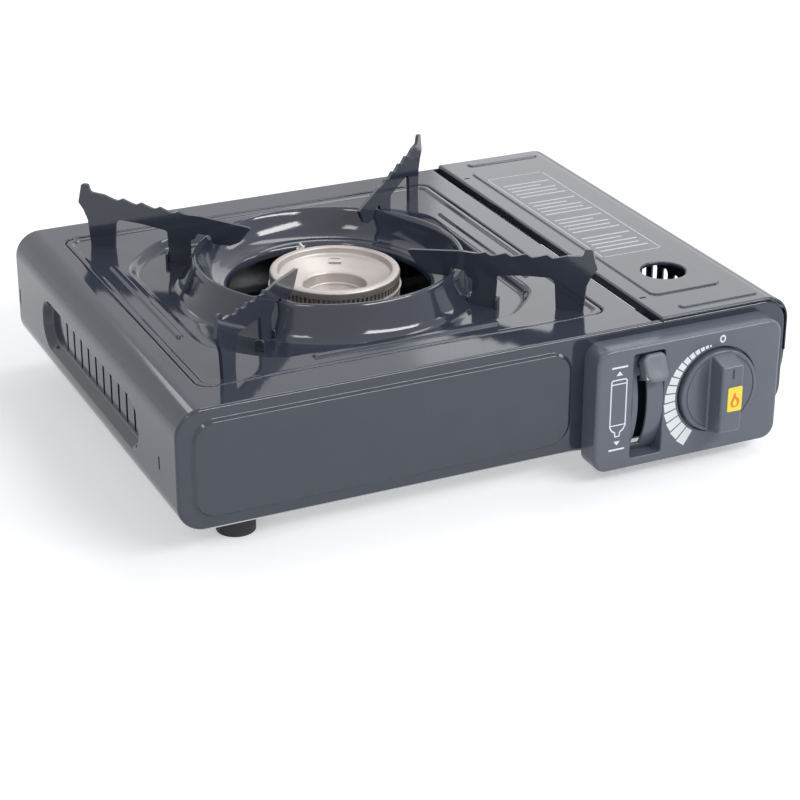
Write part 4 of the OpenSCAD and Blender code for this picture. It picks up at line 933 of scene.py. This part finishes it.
EDGE = 0.25                      # bevel of the pieces that keep their CAD shape
AS_THEY_ARE = ("gas_pipe", "carriage_spring")    # round wire and pipe, which have no edges to soften


def soften(o):
    """Rounds an object's sharp edges: merges its triangles into flats, then bevels what is left."""
    w = o.modifiers.new("weld", "WELD")
    w.merge_threshold = 2e-6
    d = o.modifiers.new("flats", "DECIMATE")
    d.decimate_type = "DISSOLVE"
    d.angle_limit = math.radians(1)
    b = o.modifiers.new("round", "BEVEL")
    b.width = EDGE * MM
    b.segments = 3
    b.limit_method = "ANGLE"
    b.angle_limit = math.radians(35)
    b.harden_normals = True
    b.use_clamp_overlap = True
    for poly in o.data.polygons:
        poly.use_smooth = True


for name, o in frame["nodes"].items():
    o.data.materials.clear()
    o.data.materials.append(MATS[SLOT_OF[name]])
    if name not in AS_THEY_ARE and not o.hide_render:
        soften(o)


# ---------- camera, light, floor ----------

FOCAL, FRAME, SENSOR = 2267.7, 800, 36           # focal length and picture width in pixels, sensor in mm
cam = bpy.data.cameras.new("camera")
cam.lens = SENSOR * FOCAL / FRAME
cam.sensor_width = SENSOR
cam.clip_start = 0.05
co = bpy.data.objects.new("camera", cam)
bpy.context.collection.objects.link(co)
co.location = (-0.482534, -1.022302, 0.534138)
yaw, pitch, roll = 0.441, 0.438, 0.003
look = Vector((math.sin(yaw) * math.cos(pitch), math.cos(yaw) * math.cos(pitch), -math.sin(pitch)))
co.rotation_mode = "QUATERNION"
co.rotation_quaternion = look.to_track_quat("-Z", "Y") @ Quaternion((0, 0, 1), roll)
bpy.context.scene.camera = co
bpy.context.scene.view_settings.view_transform = "Standard"


def seen(nt, inner, outer, out):
    """Shows outer to the camera and in reflections, and inner to everything else."""
    n, link = nt.nodes, nt.links.new
    lp = n.new("ShaderNodeLightPath")
    a = n.new("ShaderNodeMath")
    a.operation = "MAXIMUM"
    link(lp.outputs["Is Camera Ray"], a.inputs[0])
    link(lp.outputs["Is Transmission Ray"], a.inputs[1])
    b = n.new("ShaderNodeMath")
    b.operation = "MAXIMUM"
    link(a.outputs[0], b.inputs[0])
    link(lp.outputs["Is Glossy Ray"], b.inputs[1])
    mix = n.new("ShaderNodeMixShader")
    link(b.outputs[0], mix.inputs[0])
    link(inner, mix.inputs[1])
    link(outer, mix.inputs[2])
    link(mix.outputs[0], out)


WHITE = (1, 1, 1, 1)
world = bpy.data.worlds.new("studio")
world.use_nodes = True
bpy.context.scene.world = world
wn = world.node_tree.nodes
soft = wn["Background"]
soft.inputs[0].default_value = (0.93, 0.95, 1.0, 1)
soft.inputs[1].default_value = 0.5
white = wn.new("ShaderNodeBackground")
white.inputs[0].default_value = WHITE
white.inputs[1].default_value = 1.0
seen(world.node_tree, soft.outputs[0], white.outputs[0], wn["World Output"].inputs["Surface"])


def area(name, loc, size, power):
    """A rectangular light that looks at the middle of the stove."""
    lamp = bpy.data.lights.new(name, "AREA")
    lamp.shape = "RECTANGLE"
    lamp.size, lamp.size_y = size
    lamp.energy = power
    o = bpy.data.objects.new(name, lamp)
    bpy.context.collection.objects.link(o)
    o.location = loc
    o.rotation_mode = "QUATERNION"
    o.rotation_quaternion = (Vector((0, 0, 0.05)) - Vector(loc)).to_track_quat("-Z", "Y")


area("key", (0.66, -1.19, 1.08), (1.2, 0.28), 14)
area("top", (0.65, 0.45, 1.45), (1.2, 0.3), 5)
area("side", (1.5, -0.2, 0.8), (0.6, 0.4), 3)
area("left", (-0.9, -0.75, 1.3), (0.3, 0.3), 2)
area("rear_left", (-0.3, 1.55, 1.12), (0.4, 0.2), 0.6)
area("rear_right", (1.5, 1.6, 0.85), (1.3, 0.7), 2.6)

bpy.ops.mesh.primitive_plane_add(size=8, location=(0, 0, 0))
floor = bpy.context.object
floor.name = "floor"
fm = material("floor_pale", (0.8, 0.81, 0.82), 0.6, mottle=0.01)
fn = fm.node_tree.nodes
glow = fn.new("ShaderNodeEmission")
glow.inputs[0].default_value = WHITE
glow.inputs[1].default_value = 0.35
both = fn.new("ShaderNodeAddShader")
fm.node_tree.links.new(fn["Principled BSDF"].outputs[0], both.inputs[0])
fm.node_tree.links.new(glow.outputs[0], both.inputs[1])
seen(fm.node_tree, fn["Principled BSDF"].outputs[0], both.outputs[0], fn["Material Output"].inputs["Surface"])
floor.data.materials.append(fm)
